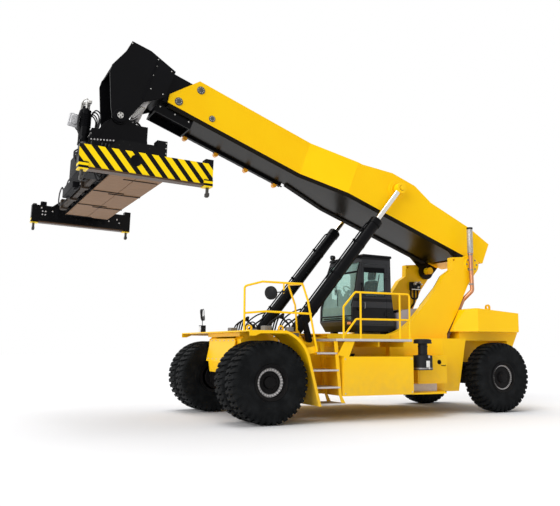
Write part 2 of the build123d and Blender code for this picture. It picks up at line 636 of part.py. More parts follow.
def cab_frame():
    """The cab's floor, posts and lower walls, with its windows and door opening cut."""
    inner = CAB_HALF - CAB_WALL
    shell = side_prism(CAB_SIDE, -CAB_HALF, CAB_HALF) - side_prism(CAB_SIDE, -inner, inner, CAB_WALL)
    half = CAB_HALF + 1
    shell -= windscreen_zone() - side_prism(CAB_SIDE, -half, half, CAB_WALL + 1)
    shell -= block(DOOR_REAR_X, DOOR_FRONT_X, inner - 1, half, DOOR_LOW_Z, DOOR_HIGH_Z)
    shell -= block(DOOR_REAR_X + DOOR_POST, DOOR_FRONT_X - DOOR_POST, -half, 1 - inner, SILL_Z, LINTEL_Z)
    shell -= block(-3800, -3560, -620, 620, 2800, 3440)
    for z in HINGE_HEIGHTS:
        for low, high in ((z - 75, z - 42), (z + 42, z + 75)):
            ear = Pos(DOOR_REAR_X, CAB_HALF + HINGE_OUT, (low + high) / 2) * Cylinder(HINGE_EAR, high - low)
            reach = CAB_HALF + HINGE_OUT + HINGE_EAR
            shell += ear + block(DOOR_REAR_X - 55, DOOR_REAR_X, CAB_HALF, reach, low, high)
        shell += Pos(DOOR_REAR_X, CAB_HALF + HINGE_OUT, z) * Cylinder(HINGE_PIN, 150)
    for x in (-2900, -3600):
        for y in (-560, 560):
            shell += block(x - 70, x + 70, y - 70, y + 70, MIDDLE_DECK_Z, CAB_LOW_Z)
    return shell


def cab_roof():
    """The roof panel laid on the cab's frame."""
    front, rear = CAB_FRONT_HIGH_X, CAB_REAR_HIGH_X
    return side_prism([(front, CAB_FRONT_Z), (front + 25, CAB_FRONT_Z + 8), (front, CAB_FRONT_Z + ROOF),
                       (rear - 20, CAB_REAR_Z + ROOF), (rear - 30, CAB_REAR_Z + 12), (rear, CAB_REAR_Z)],
                      -CAB_HALF - 15, CAB_HALF + 15)


def cab_door():
    """The left door: a frame as thick as the wall, with its window cut and a hinge barrel behind."""
    outer = CAB_HALF
    inner = CAB_HALF - CAB_WALL
    door = block(DOOR_REAR_X + DOOR_GAP, DOOR_FRONT_X - DOOR_GAP, inner, outer, DOOR_LOW_Z + DOOR_GAP,
                 DOOR_HIGH_Z - DOOR_GAP)
    door -= block(DOOR_REAR_X + DOOR_POST, DOOR_FRONT_X - DOOR_POST, inner - 1, outer + 1, SILL_Z, LINTEL_Z)
    for z in HINGE_HEIGHTS:
        axis = Pos(DOOR_REAR_X, CAB_HALF + HINGE_OUT, z)
        leaf = block(DOOR_REAR_X, DOOR_REAR_X + 75, CAB_HALF, CAB_HALF + HINGE_OUT, z - 40, z + 40)
        door += leaf + axis * Cylinder(HINGE_BARREL, 80)
        door -= axis * Cylinder(HINGE_PIN + SEAT_GAP, 100)
    return door


def cab_windows():
    """The cab's fixed panes: the bent windscreen, the right side and the rear, each set in its opening."""
    half = CAB_HALF - PILLAR
    sheet = side_prism(CAB_SIDE, -half, half, GLASS_IN) - side_prism(CAB_SIDE, -half, half, GLASS_IN + GLASS)
    rear = block(-3800, -3560, -620, 620, 2800, 3440)
    return [sheet & windscreen_zone(), side_pane(CAB_WALL / 2 - CAB_HALF), sheet & rear]


def door_glass():
    """The pane of the door's window."""
    return side_pane(CAB_HALF - CAB_WALL / 2)


def operator_seat():
    """The seat: base, cushion, back and headrest."""
    floor = CAB_LOW_Z + CAB_WALL
    seat = block(-3470, -3080, -200, 200, floor, 2270) + block(-3480, -3010, -250, 250, 2269, 2410)
    seat += side_prism([(-3380, 2409), (-3465, 2409), (-3560, 3080), (-3470, 3080)], -240, 240)
    seat += side_prism([(-3478, 3079), (-3530, 3079), (-3550, 3335), (-3468, 3335)], -125, 125)
    return Pos(0, SEAT_Y, 0) * seat


def dashboard():
    """The dash, the steering column with its wheel, and the armrest console beside the seat."""
    floor = CAB_LOW_Z + CAB_WALL
    dash = side_prism([(-2815, floor), (-2900, floor), (-2900, 2280), (-2930, 2560), (-2860, 2690),
                       (-2800, 2660), (-2720, 2420), (-2720, 2100)], -260, 330)
    wheel_plane = Pos(-2945, 60, 2800) * Rot(0, -48, 0)
    wheel = wheel_plane * Torus(160, 14)
    spokes = wheel_plane * (Box(22, 312, 12) + Cylinder(42, 36))
    column = bar((-2870, 60, 2600), (-2945, 60, 2800), 36)
    arm = block(-3400, -2960, SEAT_Y - 410, SEAT_Y - 290, floor, 2560)
    return [dash + wheel + spokes + column, arm]


# ------------------------------------------------------------------ engine, exhaust, intake
def engine_block():
    floor = HULL_LOW_Z + 60
    return block(-4850, -3750, -400, 400, floor, floor + 1080)


def engine_hood():
    """The cover over the engine between the boom's support plates."""
    half = PLATE_IN_Y - SEAT_GAP
    return side_prism([(HOOD_FRONT_X, HULL_HIGH_Z), (HOOD_FRONT_X, 2330), (-4300, 2400), (-5040, 2400),
                       (-5040, HULL_HIGH_Z)], -half, half)


def exhaust_stack():
    """The exhaust: its pipe up the rear edge of the support plate, a bend and the upright stack."""
    path = [(-5150, PIPE_Y, HULL_HIGH_Z), (-5150, PIPE_Y, 1770), (-5647, PIPE_Y, 2640), (-5790, 1105, 2860),
            (-5765, 1105, 3751)]
    return tube_run(path, PIPE_RADIUS, 100) + bar((-5765, 1105, 3750), (-5765, 1105, 4385), PIPE_RADIUS + 15)


def air_cleaner():
    """The intake canister with its neck and cap, on a bracket beside the hull."""
    axis = Pos(-3705, 1860, 0)
    body = axis * Pos(0, 0, 1165) * Cylinder(205, 310) + axis * Pos(0, 0, 1450) * Cylinder(100, 280)
    body += axis * Pos(0, 0, 1615) * Cylinder(190, 75)
    front, rear = -3560, -3700
    outline = [(front, hull_side_y(front)), (front, 1780), (rear, 1780), (rear, hull_side_y(rear))]
    bracket = plan_prism(outline, 1080, 1150)
    return body + bracket


def left_mirror():
    """A round mirror turned to the driver, on an arm from the front rail's drop tube."""
    centre = Vector(-75, 1830, 2545)
    disc = Plane(origin=centre, z_dir=(0.82, 0.55, -0.14)) * Cylinder(MIRROR_RADIUS, 40)
    clamp = Pos(MIRROR_DROP_X, MIRROR_DROP_Y, 2570) * Cylinder(TUBE_RADIUS + 12, 40)
    clamp -= Pos(MIRROR_DROP_X, MIRROR_DROP_Y, 2570) * Cylinder(TUBE_RADIUS - 5 + SEAT_GAP, 60)
    return disc + clamp + bar((MIRROR_DROP_X + 22, MIRROR_DROP_Y, 2570), centre, 11)


def right_mirror():
    """A round mirror on a thin rod from the deck, with a box lamp at the rod's foot."""
    centre = Vector(LAMP_X, LAMP_Y, 2250)
    disc = Plane(origin=centre, z_dir=(3, -2, -0.75)) * Cylinder(MIRROR_RADIUS + 10, 36)
    rod = bar((LAMP_X, LAMP_Y, DECK_Z), centre, 9)
    return disc + rod + block(LAMP_X - 60, LAMP_X + 60, LAMP_Y - 85, LAMP_Y + 85, DECK_Z, DECK_Z + 190)


# ------------------------------------------------------------------ boom
OUTER_SIDE = [(-360, BOOM_EDGE_N + 60), (-390, 756), (310, 886), (1600, 970), (2170, 1150), (2860, 1150),
              (3700, 955), (7855, 948), (8340, 337), (8310, BOOM_EDGE_N + 4), (7890, BOOM_EDGE_N + 6),
              (7700, BOOM_EDGE_N), (300, BOOM_EDGE_N)]


def boom_plan(s_rear, s_front, inset):
    """The boom's outline from above, narrow in front and flared behind, moved in by inset."""
    corners = [(s_front, BOOM_HALF - inset), (FLARE_FRONT_S, BOOM_HALF - inset),
               (FLARE_REAR_S, BOOM_REAR_HALF - inset), (s_rear, BOOM_REAR_HALF - inset)]
    return corners + [(s, -y) for s, y in reversed(corners)]


def outer_boom():
    """The hollow outer boom: the side outline crossed with the plan, its belly, lugs and guide pads."""
    tip = 8400
    body = side_prism(OUTER_SIDE, -1000, 1000)
    body &= plan_prism(boom_plan(-400, tip, 0), -100, 1300)
    belly_top = Pos(0, 0, BOOM_EDGE_N + 1) * Polygon(*boom_plan(180, 8300, 0), align=None)
    belly_low = Pos(0, 0, BOOM_UNDER_N) * Polygon(*boom_plan(300, 8220, 60), align=None)
    body += loft([belly_low, belly_top], ruled=True)
    roof = [(-340, BOOM_EDGE_N + 90), (-360, 730), (310, 860), (1600, 944), (2180, 1124), (2850, 1124),
            (3698, 930), (7860, 926), (8500, 926), (8500, BOOM_EDGE_N - 20), (300, BOOM_EDGE_N - 20)]
    cavity = side_prism(roof, -1000, 1000)
    cavity &= plan_prism(boom_plan(-340, tip + 100, BOOM_WALL), -100, 1300)
    body -= cavity
    gap = SEAT_GAP
    wall = BOOM_HALF - BOOM_WALL
    for low, high in ((7200, 7330), (7690, 7820)):
        for side in (1, -1):
            y_low, y_high = side_pair(side, INNER_HALF + gap, wall + 1)
            body += block(low, high, y_low, y_high, 300, 700)
        body += block(low, high, -300, 300, INNER_HIGH_N + gap, 928)
        body += block(low, high, -300, 300, BOOM_EDGE_N - 21, INNER_LOW_N - gap)
    for side in (1, -1):
        y_low, y_high = side_pair(side, BOOM_REAR_HALF - 60, BOOM_REAR_HALF)
        lug = side_prism([(-200, BOOM_EDGE_N + 80), (PIVOT_S - LUG_REACH, PIVOT_N),
                          (PIVOT_S + LUG_REACH, PIVOT_N), (900, BOOM_EDGE_N + 10)], y_low, y_high)
        lug += across(PIVOT_S, PIVOT_N, LUG_REACH, y_low, y_high)
        body += lug - across(PIVOT_S, PIVOT_N, PIVOT_PIN_RADIUS + SEAT_GAP, y_low - 5, y_high + 5)
    return body


def inner_boom():
    """The hollow inner boom that slides in the outer one, with guide pads at its rear."""
    front = 8700
    tube = block(INNER_REAR_S, front, -INNER_HALF, INNER_HALF, INNER_LOW_N, INNER_HIGH_N)
    bore = INNER_HALF - INNER_WALL
    low, high = INNER_LOW_N + INNER_WALL, INNER_HIGH_N - INNER_WALL
    tube -= block(INNER_REAR_S - 1, front + 1, -bore, bore, low, high)
    return tube


def boom_head():
    """The head: two side plates, a top and front cover and the pin that carries the spreader."""
    outline = [(8420, 170), (8420, 822), (9050, 966), (9480, 952), (9500, 711), (9650, 268), (9635, 113),
               (9330, -560), (9090, -560), (8880, -500), (8780, -150)]
    inner = HEAD_HALF - HEAD_PLATE
    head = side_prism(outline, -HEAD_HALF, -inner) + side_prism(outline, inner, HEAD_HALF)
    boss = across(HEAD_PIN_S, HEAD_PIN_N, 165, inner, HEAD_HALF)
    web = side_prism([(9330, -560), (9250, -700), (8940, -700), (8880, -500)], inner, HEAD_HALF)
    head += boss + web + other_side(boss + web)
    lap = inner + 1
    top = [(8420, 800), (8420, 822), (9050, 966), (9480, 952), (9478, 930), (9052, 944)]
    nose = [(9480, 952), (9500, 711), (9640, 290), (9618, 283), (9478, 706), (9458, 952)]
    head += side_prism(top, -lap, lap) + side_prism(nose, -lap, lap)
    cheek = block(8420, 8700, INNER_HALF - 1, lap, 180, 780)
    head += cheek + other_side(cheek)
    head -= block(8300, 8701, -INNER_HALF, INNER_HALF, INNER_LOW_N, INNER_HIGH_N)
    head += block(8701, 8731, -inner - 1, inner + 1, 100, 830)
    head += across(HEAD_PIN_S, HEAD_PIN_N, HEAD_PIN_RADIUS, -HEAD_HALF - 25, HEAD_HALF + 25)
    return head


def tip_bracket():
    """The box under the outer boom's tip that guides the hoses, open below."""
    box = block(7630, 8480, -330, 330, -110, BOOM_UNDER_N - SEAT_GAP)
    return box - block(7660, 8450, -300, 300, -111, BOOM_UNDER_N - 30)


def hose_tray():
    """The tray along the boom's lower right edge with its four rollers."""
    y = -BOOM_HALF - 55
    seat = y + 55 - SEAT_GAP
    tray = block(4960, 7750, y - 45, seat, 20, 60) + block(4960, 7750, y + 40, seat, 20, 220)
    for s in (5100, 5900, 6700, 7500):
        tray += across(s, -12, 52, y - 60, y + 20)
        tray += block(s - 30, s + 30, y - 45, y - 20, -30, 25)
    return tray


def boom_hoses():
    """Three hoses held under the boom by its right edge, from the pivot to the hose tray."""
    n = BOOM_UNDER_N - HOSE_RADIUS - SEAT_GAP
    hoses = []
    for lane in (0, 1, 2):
        wide = -560 - 52 * lane
        slim = -280 - 50 * lane
        hoses.append(tube_run([(380, wide, n), (3700, wide, n), (4900, slim, n)], HOSE_RADIUS, 400))
    return hoses


# ------------------------------------------------------------------ lift cylinders
def cylinder_frame():
    """The direction and length from a cylinder's foot to its eye at rest."""
    run = hypot(EYE_X - FOOT_X, EYE_Z - FOOT_Z)
    return (EYE_X - FOOT_X) / run, (EYE_Z - FOOT_Z) / run, run


def along(distance, y=CYLINDER_Y):
    a, b, _ = cylinder_frame()
    return FOOT_X + a * distance, y, FOOT_Z + b * distance


def lift_barrel():
    """A lift cylinder's barrel with its foot eye and gland."""
    bore = ROD_RADIUS + SEAT_GAP
    barrel = bar(along(135), along(BARREL_LENGTH), BARREL_RADIUS) + bar(along(90), along(140), 73)
    barrel += bar(along(BARREL_LENGTH - 150), along(BARREL_LENGTH - 20), BARREL_RADIUS + 14)
    barrel -= bar(along(200), along(BARREL_LENGTH - 160), BARREL_BORE)
    barrel -= bar(along(BARREL_LENGTH - 161), along(BARREL_LENGTH + 5), bore)
    eye = across(FOOT_X, FOOT_Z, 122, CYLINDER_Y - EYE_WIDTH / 2, CYLINDER_Y + EYE_WIDTH / 2)
    barrel += eye
    return barrel - across(FOOT_X, FOOT_Z, FOOT_PIN_RADIUS + SEAT_GAP, CYLINDER_Y - 200, CYLINDER_Y + 200)


def lift_rod():
    """A lift cylinder's rod with its piston, and the eye with its pin's end beside the boom."""
    run = cylinder_frame()[2]
    rod = bar(along(run - ROD_LENGTH), along(run - 40), ROD_RADIUS)
    rod += bar(along(run - ROD_LENGTH), along(run - ROD_LENGTH + 160), BARREL_BORE - SEAT_GAP)
    half = EYE_WIDTH / 2
    rod += across(EYE_X, EYE_Z, EYE_RADIUS, CYLINDER_Y - half, CYLINDER_Y + half)
    return rod + across(EYE_X, EYE_Z, 58, BOOM_REAR_HALF + 6, CYLINDER_Y + half + 30)


# ------------------------------------------------------------------ spreader
def spreader_yoke():
    """The yoke on the head pin: two cheeks and cross plates over the slewing ring, with the slew motor."""
    y_out = HEAD_HALF - HEAD_PLATE - RUNNING_GAP
    plate = 60
    low = RING_HIGH + 3
    yoke = block(-600, 530, -y_out, y_out, low, low + 52)
    cheek = side_prism([(-600, low + 51), (530, low + 51), (530, -330), (330, -330), (140, -30), (-140, 20),
                        (-330, -130), (-600, -130)], y_out - plate, y_out)
    cheek += across(0, 0, 150, y_out - plate, y_out)
    yoke += cheek + other_side(cheek)
    yoke += block(-600, -560, -y_out, y_out, low, -130) + block(490, 530, -y_out, y_out, low, -330)
    yoke += block(-330, -300, -y_out, y_out, low, -200) + block(300, 330, -y_out, y_out, low, -400)
    yoke += Pos(-SLEW_BACK, 0, RING_HIGH - 30) * Cylinder(RING_RADIUS - 40, 68)
    yoke += block(520, 700, -150, 150, low, low + 52)
    yoke += Pos(600, 0, (low + 130) / 2) * Cylinder(115, 130 - low)
    return yoke - across(0, 0, HEAD_PIN_RADIUS + SEAT_GAP, -600, 600)


def rotator():
    """The turning part: slewing ring, motor housings and the carriage with its guide shoes."""
    top = RING_HIGH - 64 - SEAT_GAP
    ring = Pos(0, 0, (top + CARRIAGE_HIGH) / 2) * Cylinder(RING_RADIUS, top - CARRIAGE_HIGH)
    body = block(-560, 560, -760, 760, CARRIAGE_LOW, CARRIAGE_HIGH + 1)
    for x in (-1, 1):
        for y in (-1, 1):
            low_x, high_x = side_pair(x, 380, 560)
            low_y, high_y = side_pair(y, 560, 760)
            body += block(low_x, high_x, low_y, high_y, RAIL_TOP + SEAT_GAP, CARRIAGE_LOW + 1)
    return ring + body


def spreader_frame():
    """The main frame: a box with four lanes for the arms, rails for the carriage and the valve chest."""
    box = block(-FRAME_HALF_X, FRAME_HALF_X, -FRAME_HALF_Y, FRAME_HALF_Y, FRAME_LOW, FRAME_HIGH)
    low = FRAME_LOW + FRAME_FLOOR
    half = ARM_WIDTH / 2 + SEAT_GAP
    for lane in ARM_LANES:
        box -= block(lane - half, lane + half, -FRAME_HALF_Y - 1, FRAME_HALF_Y + 1, low,
                     low + ARM_HEIGHT + 2 * SEAT_GAP)
    for side in (1, -1):
        low_x, high_x = side_pair(side, 385, 470)
        box += block(low_x, high_x, -1750, 1750, FRAME_HIGH - 1, RAIL_TOP)
    return box + block(-560, -360, 1950, 2180, FRAME_HIGH - 1, -760)


def end_beam(lanes):
    """A left end: the cross beam, its corner housings and covers, and two arms that slide in the frame."""
    low = FRAME_LOW + FRAME_FLOOR + SEAT_GAP
    beam = block(-END_X, END_X, END_IN_Y, END_OUT_Y - 12, END_LOW + 45, END_HIGH)
    beam += block(-END_X, END_X, END_IN_Y, END_OUT_Y, END_LOW + 12, END_LOW + 46)
    for lane in lanes:
        beam += block(lane - ARM_WIDTH / 2, lane + ARM_WIDTH / 2, -2080, END_IN_Y + 1, low, low + ARM_HEIGHT)
    for side in (1, -1):
        low_x, high_x = side_pair(side, CORNER_X - 95, END_X)
        beam += block(low_x, high_x, CORNER_Y - 95, END_OUT_Y + 8, END_LOW, END_LOW + 130)
    beam += side_prism([(-270, END_HIGH - 1), (740, END_HIGH - 1), (530, -1125), (-80, -1125)],
                       END_OUT_Y - 62, END_OUT_Y - 12)
    beam += block(-END_X, -1050, END_IN_Y, END_OUT_Y - 12, END_HIGH - 1, -1215)
    beam -= block(12 - END_X, -1062, END_IN_Y + 12, END_OUT_Y - 24, END_HIGH, -1227)
    for side in (1, -1):
        beam -= Pos(side * CORNER_X, CORNER_Y, END_LOW + 225) * Cylinder(LOCK_RADIUS + SEAT_GAP, 460)
    return beam


def twistlock(x, y):
    """A twistlock: a shaft through the corner housing with its long head below."""
    top = END_HIGH + 40
    shaft = Pos(x, y, (TWISTLOCK_TIP + 60 + top) / 2) * Cylinder(LOCK_RADIUS, top - TWISTLOCK_TIP - 60)
    head = Pos(x, y, TWISTLOCK_TIP + 45) * Box(58, 104, 62) + Pos(x, y, TWISTLOCK_TIP + 8) * Box(40, 60, 16)
    collar = Pos(x, y, END_HIGH + SEAT_GAP + 20) * Cylinder(48, 40)
    return shaft + head + collar


left_end = slewed(end_beam((ARM_LANES[1], ARM_LANES[3])), REST_SHIFT)
right_end = slewed(other_side(end_beam((ARM_LANES[0], ARM_LANES[2]))), REST_SHIFT)
left_box = left_end.bounding_box()
right_box = right_end.bounding_box()
ORIGIN_X = (max(left_box.max.X, right_box.max.X) + WEIGHT_REAR_X) / 2
ORIGIN_Y = (left_box.max.Y + right_box.min.Y) / 2


def save(node, pieces):
    """Writes one node's solids, moved so that the origin is under the middle of the machine."""
    solids = []
    for piece in pieces if isinstance(pieces, list) else [pieces]:
        solids += piece.solids()
    moved = [Pos(-ORIGIN_X, -ORIGIN_Y, 0) * solid for solid in solids]
    export_step(Compound(children=moved) if len(moved) > 1 else moved[0], f"parts/{node}.step")


# ------------------------------------------------------------------ the machine
os.makedirs("parts", exist_ok=True)

axle = Pos(0, 0, TYRE_RADIUS)
steered = Pos(-WHEELBASE, 0, TYRE_RADIUS)
for name, turn in (("left", lambda piece: piece), ("right", other_side)):
    save(f"front_tyres_{name}", [turn(axle * tyre(TWIN_OUTER_Y)), turn(axle * tyre(TWIN_INNER_Y))])
    save(f"front_rims_{name}", turn(axle * twin_rims()))
    save(f"rear_tyre_{name}", turn(steered * tyre(STEERED_Y)))
    save(f"rear_rim_{name}", turn(steered * steered_rim()))
    save(f"knuckle_{name}", turn(steered * knuckle()))
    save(f"lift_barrel_{name}", turn(lift_barrel()))
    save(f"lift_rod_{name}", turn(lift_rod()))

save("steer_axle", steer_axle())
save("drive_axle", drive_axle())
save("chassis_frame", chassis_frame())
save("front_apron", front_apron())
save("cylinder_feet", both_sides(cylinder_feet()))
save("boom_supports", both_sides(boom_support()))
save("mast_hoses", mast_hoses())
save("counterweight", counterweight())
save("front_deck", front_deck())
save("middle_deck", middle_deck())
save("walkways", both_sides(walkway()) + both_sides(low_step()))
save("rear_boxes", both_sides(rear_box()))
save("side_tanks", both_sides(side_box()))
save("ladders", both_sides(ladder()))
save("handrails", [front_rail(), walk_rail()])
save("mirrors", [left_mirror(), right_mirror()])
save("engine_block", engine_block())
save("engine_hood", engine_hood())
save("exhaust_stack", exhaust_stack())
save("air_cleaner", air_cleaner())

save("cab_frame", cab_frame())
save("cab_roof", cab_roof())
save("cab_windows", cab_windows())
save("cab_door", cab_door())
save("door_window", door_glass())
save("operator_seat", operator_seat())
save("dashboard", dashboard())

save("outer_boom", on_boom(outer_boom()))
save("hose_tray", on_boom(hose_tray()))
save("boom_hoses", [on_boom(hose) for hose in boom_hoses()])
save("tip_bracket", on_boom(tip_bracket()))
save("inner_boom", on_boom(inner_boom()))
save("boom_head", on_boom(boom_head()))

save("spreader_yoke", at_head(spreader_yoke()))
save("rotator", slewed(rotator()))
save("spreader_frame", slewed(spreader_frame(), REST_SHIFT))
save("end_beam_left", left_end)
save("end_beam_right", right_end)
corners = [("front_left", 1, 1), ("rear_left", -1, 1), ("front_right", 1, -1), ("rear_right", -1, -1)]
for name, x, y in corners:
    save(f"twistlock_{name}", slewed(twistlock(x * CORNER_X, y * CORNER_Y), REST_SHIFT))
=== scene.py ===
import json
import math

import bmesh
import bpy
import numpy as np
from mathutils import Matrix


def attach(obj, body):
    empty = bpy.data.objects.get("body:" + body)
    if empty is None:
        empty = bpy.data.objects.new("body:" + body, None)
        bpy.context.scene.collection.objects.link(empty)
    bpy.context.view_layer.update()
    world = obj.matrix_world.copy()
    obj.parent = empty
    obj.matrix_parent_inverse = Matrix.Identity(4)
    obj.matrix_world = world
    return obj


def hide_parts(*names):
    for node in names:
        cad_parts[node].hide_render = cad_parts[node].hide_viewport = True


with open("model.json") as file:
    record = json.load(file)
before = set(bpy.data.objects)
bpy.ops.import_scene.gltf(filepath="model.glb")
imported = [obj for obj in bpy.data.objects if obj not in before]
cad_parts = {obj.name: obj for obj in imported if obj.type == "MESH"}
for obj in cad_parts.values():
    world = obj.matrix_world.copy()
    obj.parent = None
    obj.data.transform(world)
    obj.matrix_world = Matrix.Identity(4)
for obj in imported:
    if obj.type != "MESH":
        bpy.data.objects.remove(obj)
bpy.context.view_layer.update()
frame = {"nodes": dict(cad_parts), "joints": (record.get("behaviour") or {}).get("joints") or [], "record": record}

bl_info = {
    "name": "Reach stacker",
    "version": (1, 0, 0),
    "blender": (4, 5, 0),
    "location": "3D View > Sidebar > Stacker",
    "description": "Dresses the packed reach stacker with tyres, fittings, paint and glass",
    "category": "Object",
}

JOINT = {joint["name"]: joint for joint in frame["joints"]}


# ------------------------------------------------------------------ places
def unit(vector):
    """The vector, made one long."""
    vector = np.asarray(vector, float)
    return vector / np.linalg.norm(vector)


class Axes:
    """A set of axes on the machine: rows of (along, across, up) become places in the model."""

    def __init__(self, origin, along, up):
        along, up = unit(along), unit(up)
        self.turn = np.array([along, np.cross(up, along), up])
        self.origin = np.asarray(origin, float)

    def __call__(self, points):
        return np.asarray(points, float) @ self.turn + self.origin

    def shifted(self, along=0, across=0, up=0):
        """The same axes, moved along themselves."""
        return Axes(self([along, across, up]), self.turn[0], self.turn[2])

    def facing(self, outward, place=(0, 0, 0)):
        """Axes at a place on these, along the same way, whose up is one of their directions."""
        return Axes(self(place), self.turn[0], np.array(outward, float) @ self.turn)

    def local(self, points):
        """The rows of (along, across, up) that stand for places in the model."""
        return (np.asarray(points, float) - self.origin) @ self.turn.T


AHEAD, LEFT, UP, DOWN = (1, 0, 0), (0, 1, 0), (0, 0, 1), (0, 0, -1)
LOCAL = Axes((0, 0, 0), AHEAD, UP)
DRIVE_X = JOINT["front_wheel_left"]["pos_m"][0]
MIDDLE_Y = JOINT["boom_lift"]["pos_m"][1]
MACHINE = Axes((DRIVE_X, MIDDLE_Y, 0), AHEAD, UP)

BOOM_RUN = -np.array(JOINT["boom_extend"]["axis"])
BOOM_UP = np.cross(BOOM_RUN, LEFT)
BOOM = Axes(JOINT["boom_lift"]["pos_m"], BOOM_RUN, BOOM_UP).shifted(-0.135, 0, 0.067)

SLEW_UP = np.array(JOINT["spreader_turn"]["axis"])
SHIFT_RUN = unit(JOINT["side_shift"]["axis"])
YOKE = Axes(JOINT["spreader_swing"]["pos_m"], np.cross(LEFT, SLEW_UP), SLEW_UP)
SLEW = Axes(np.array(JOINT["spreader_turn"]["pos_m"]) + 0.7 * SLEW_UP, np.cross(SHIFT_RUN, SLEW_UP),
            SLEW_UP)
REST_SHIFT = -sum(JOINT["side_shift"]["range_m"]) / 2
SPREADER = SLEW.shifted(0, REST_SHIFT, 0)
SIDES = (("left", 1), ("right", -1))

# Tyres: their radius, and how far each lane is from the middle.
TYRE_RADIUS = 0.8075
FRONT_LANES, REAR_LANES = (1.26, 1.826), (1.4,)

# How far from the middle the faces are that fittings stand on.
HEAD_WALL, BRACKET_WALL, GUIDE_WALL, EYE_WALL = 0.53, 0.33, 0.4495, 0.8
BEAM_INSIDE, BEAM_FACE = 2.826, 3.003
TANK_WALL, CYLINDER_LANE, SEAT_Y = 2.0, 0.95, 0.15

# Levels at which one finish gives way to the next, each on its own part's axes.
# The first of these levels is the top of the boom's painted shade on its underside.
SHADED_BELLY_UP, HANGER_TOP, ROD_EYE_START = 0.1495, 1.604, 4.345
SPREADER_UNDER, BEAM_UNDER, BEAM_TOP = -1.553, -1.683, -1.2955

# The lift rods' eyes on the boom, the top of the deck, the exhaust's middle line and the floor.
ROD_EYE_ALONG, ROD_EYE_UP = 2.619, 0.821
DECK_TOP = 1.8055
STACK = MACHINE.shifted(-5.765, 1.105, 0)
FLOOR_RADIUS = 90.0

# The camera: its place, the way it looks and its lens in millimetres.
CAMERA_PLACE = MACHINE([5.8, 14.412, 1.502])
CAMERA_BEARING, CAMERA_PITCH, CAMERA_ROLL = (math.radians(angle) for angle in (25.75, 7.54, 0.30))
CAMERA_LENS, CAMERA_SENSOR = 45.283, 36.0


def cylinder_axes(side):
    """Axes at a lift cylinder's foot pin: up runs along its barrel and across points to the left."""
    run = np.array(JOINT[f"rod_{side}"]["axis"])
    return Axes(JOINT[f"barrel_{side}"]["pos_m"], np.cross(LEFT, run), run)


def wheel_axes(joint, sign):
    """Axes on the machine's middle line at a wheel's axle: up runs outwards along it."""
    x, _, z = JOINT[joint]["pos_m"]
    return Axes((x, MIDDLE_Y, z), AHEAD, (0, sign, 0))


def stand(directions, place):
    """The matrix of a thing whose own x, y and z run along three directions, at a place."""
    return Matrix(np.vstack([np.column_stack([np.array(directions).T, place]), [0, 0, 0, 1]]).tolist())


# ------------------------------------------------------------------ surfaces
def quads(rows, columns, wrap=False):
    """The four-sided faces of a grid whose columns run round, and whose rows do too with wrap."""
    i, j = np.meshgrid(np.arange(rows if wrap else rows - 1), np.arange(columns), indexing="ij")
    i, j = i.ravel(), j.ravel()
    k, m = (i + 1) % rows, (j + 1) % columns
    return np.stack([i * columns + j, i * columns + m, k * columns + m, k * columns + j], 1)


def skin(rings, wrap=False):
    """A closed skin over an array of rings: faces between neighbouring rings, and one over each end."""
    rows, columns = rings.shape[:2]
    faces = [quads(rows, columns, wrap)]
    if not wrap:
        ring = np.arange(columns)[None]
        faces += [ring[:, ::-1], ring + (rows - 1) * columns]
    return rings.reshape(-1, 3), faces


def turned(axes, profile, sides=40, wrap=False):
    """A profile of (height, radius) turned about the axes' up line:
    point = (radius cos a, radius sin a, height) for the angle a from 0 to a full turn."""
    height, radius = np.array(profile, float).T
    angle = np.linspace(0, math.tau, sides, endpoint=False)
    rings = np.stack([np.outer(radius, np.cos(angle)), np.outer(radius, np.sin(angle)),
                      np.outer(height, np.ones(sides))], -1)
    return skin(axes(rings), wrap)


PLANES = {"plan": (0, 1, 2), "side": (0, 2, 1), "cross": (1, 2, 0)}


def slab(axes, outline, low, high, plane="plan", bevel=0.004):
    """An outline of corners carried from low to high across its plane, with chamfered edges:
    rings at (inset, low), (full, low + bevel), (full, high - bevel), (inset, high), where the inset
    moves each corner along the sum of its two edges' normals."""
    corners = np.array(outline, float)
    edge = np.roll(corners, -1, 0) - corners
    normal = np.stack([edge[:, 1], -edge[:, 0]], 1) / np.linalg.norm(edge, axis=1)[:, None]
    before = np.roll(normal, 1, 0)
    mitre = (normal + before) / (1 + (normal * before).sum(1))[:, None]
    area = (corners[:, 0] * np.roll(corners[:, 1], -1) - corners[:, 1] * np.roll(corners[:, 0], -1)).sum()
    inset = corners - mitre * bevel * np.sign(area)
    levels = [(inset, low), (corners, low + bevel), (corners, high - bevel), (inset, high)]
    rings = np.array([np.column_stack([ring, np.full(len(ring), level)]) for ring, level in levels])
    order = np.argsort(PLANES[plane])
    return skin(axes(rings[..., order]))


def rectangle(x_low, x_high, y_low, y_high, radius=0.0, steps=4):
    """A rectangle's corners, rounded by quarter circles."""
    if not radius:
        return [(x_low, y_low), (x_high, y_low), (x_high, y_high), (x_low, y_high)]
    turn = np.linspace(0, math.pi / 2, steps + 1)
    corners = []
    for x, y, start in ((x_high - radius, y_high - radius, 0), (x_low + radius, y_high - radius, 1),
                        (x_low + radius, y_low + radius, 2), (x_high - radius, y_low + radius, 3)):
        angle = turn + start * math.pi / 2
        corners += list(zip(x + radius * np.cos(angle), y + radius * np.sin(angle)))
    return corners


def brick(axes, x, y, z, bevel=0.006, radius=0.0):
    """A box between the pairs x, y and z, with chamfered edges and rounded upright corners."""
    return slab(axes, rectangle(*x, *y, radius), *z, "plan", bevel)


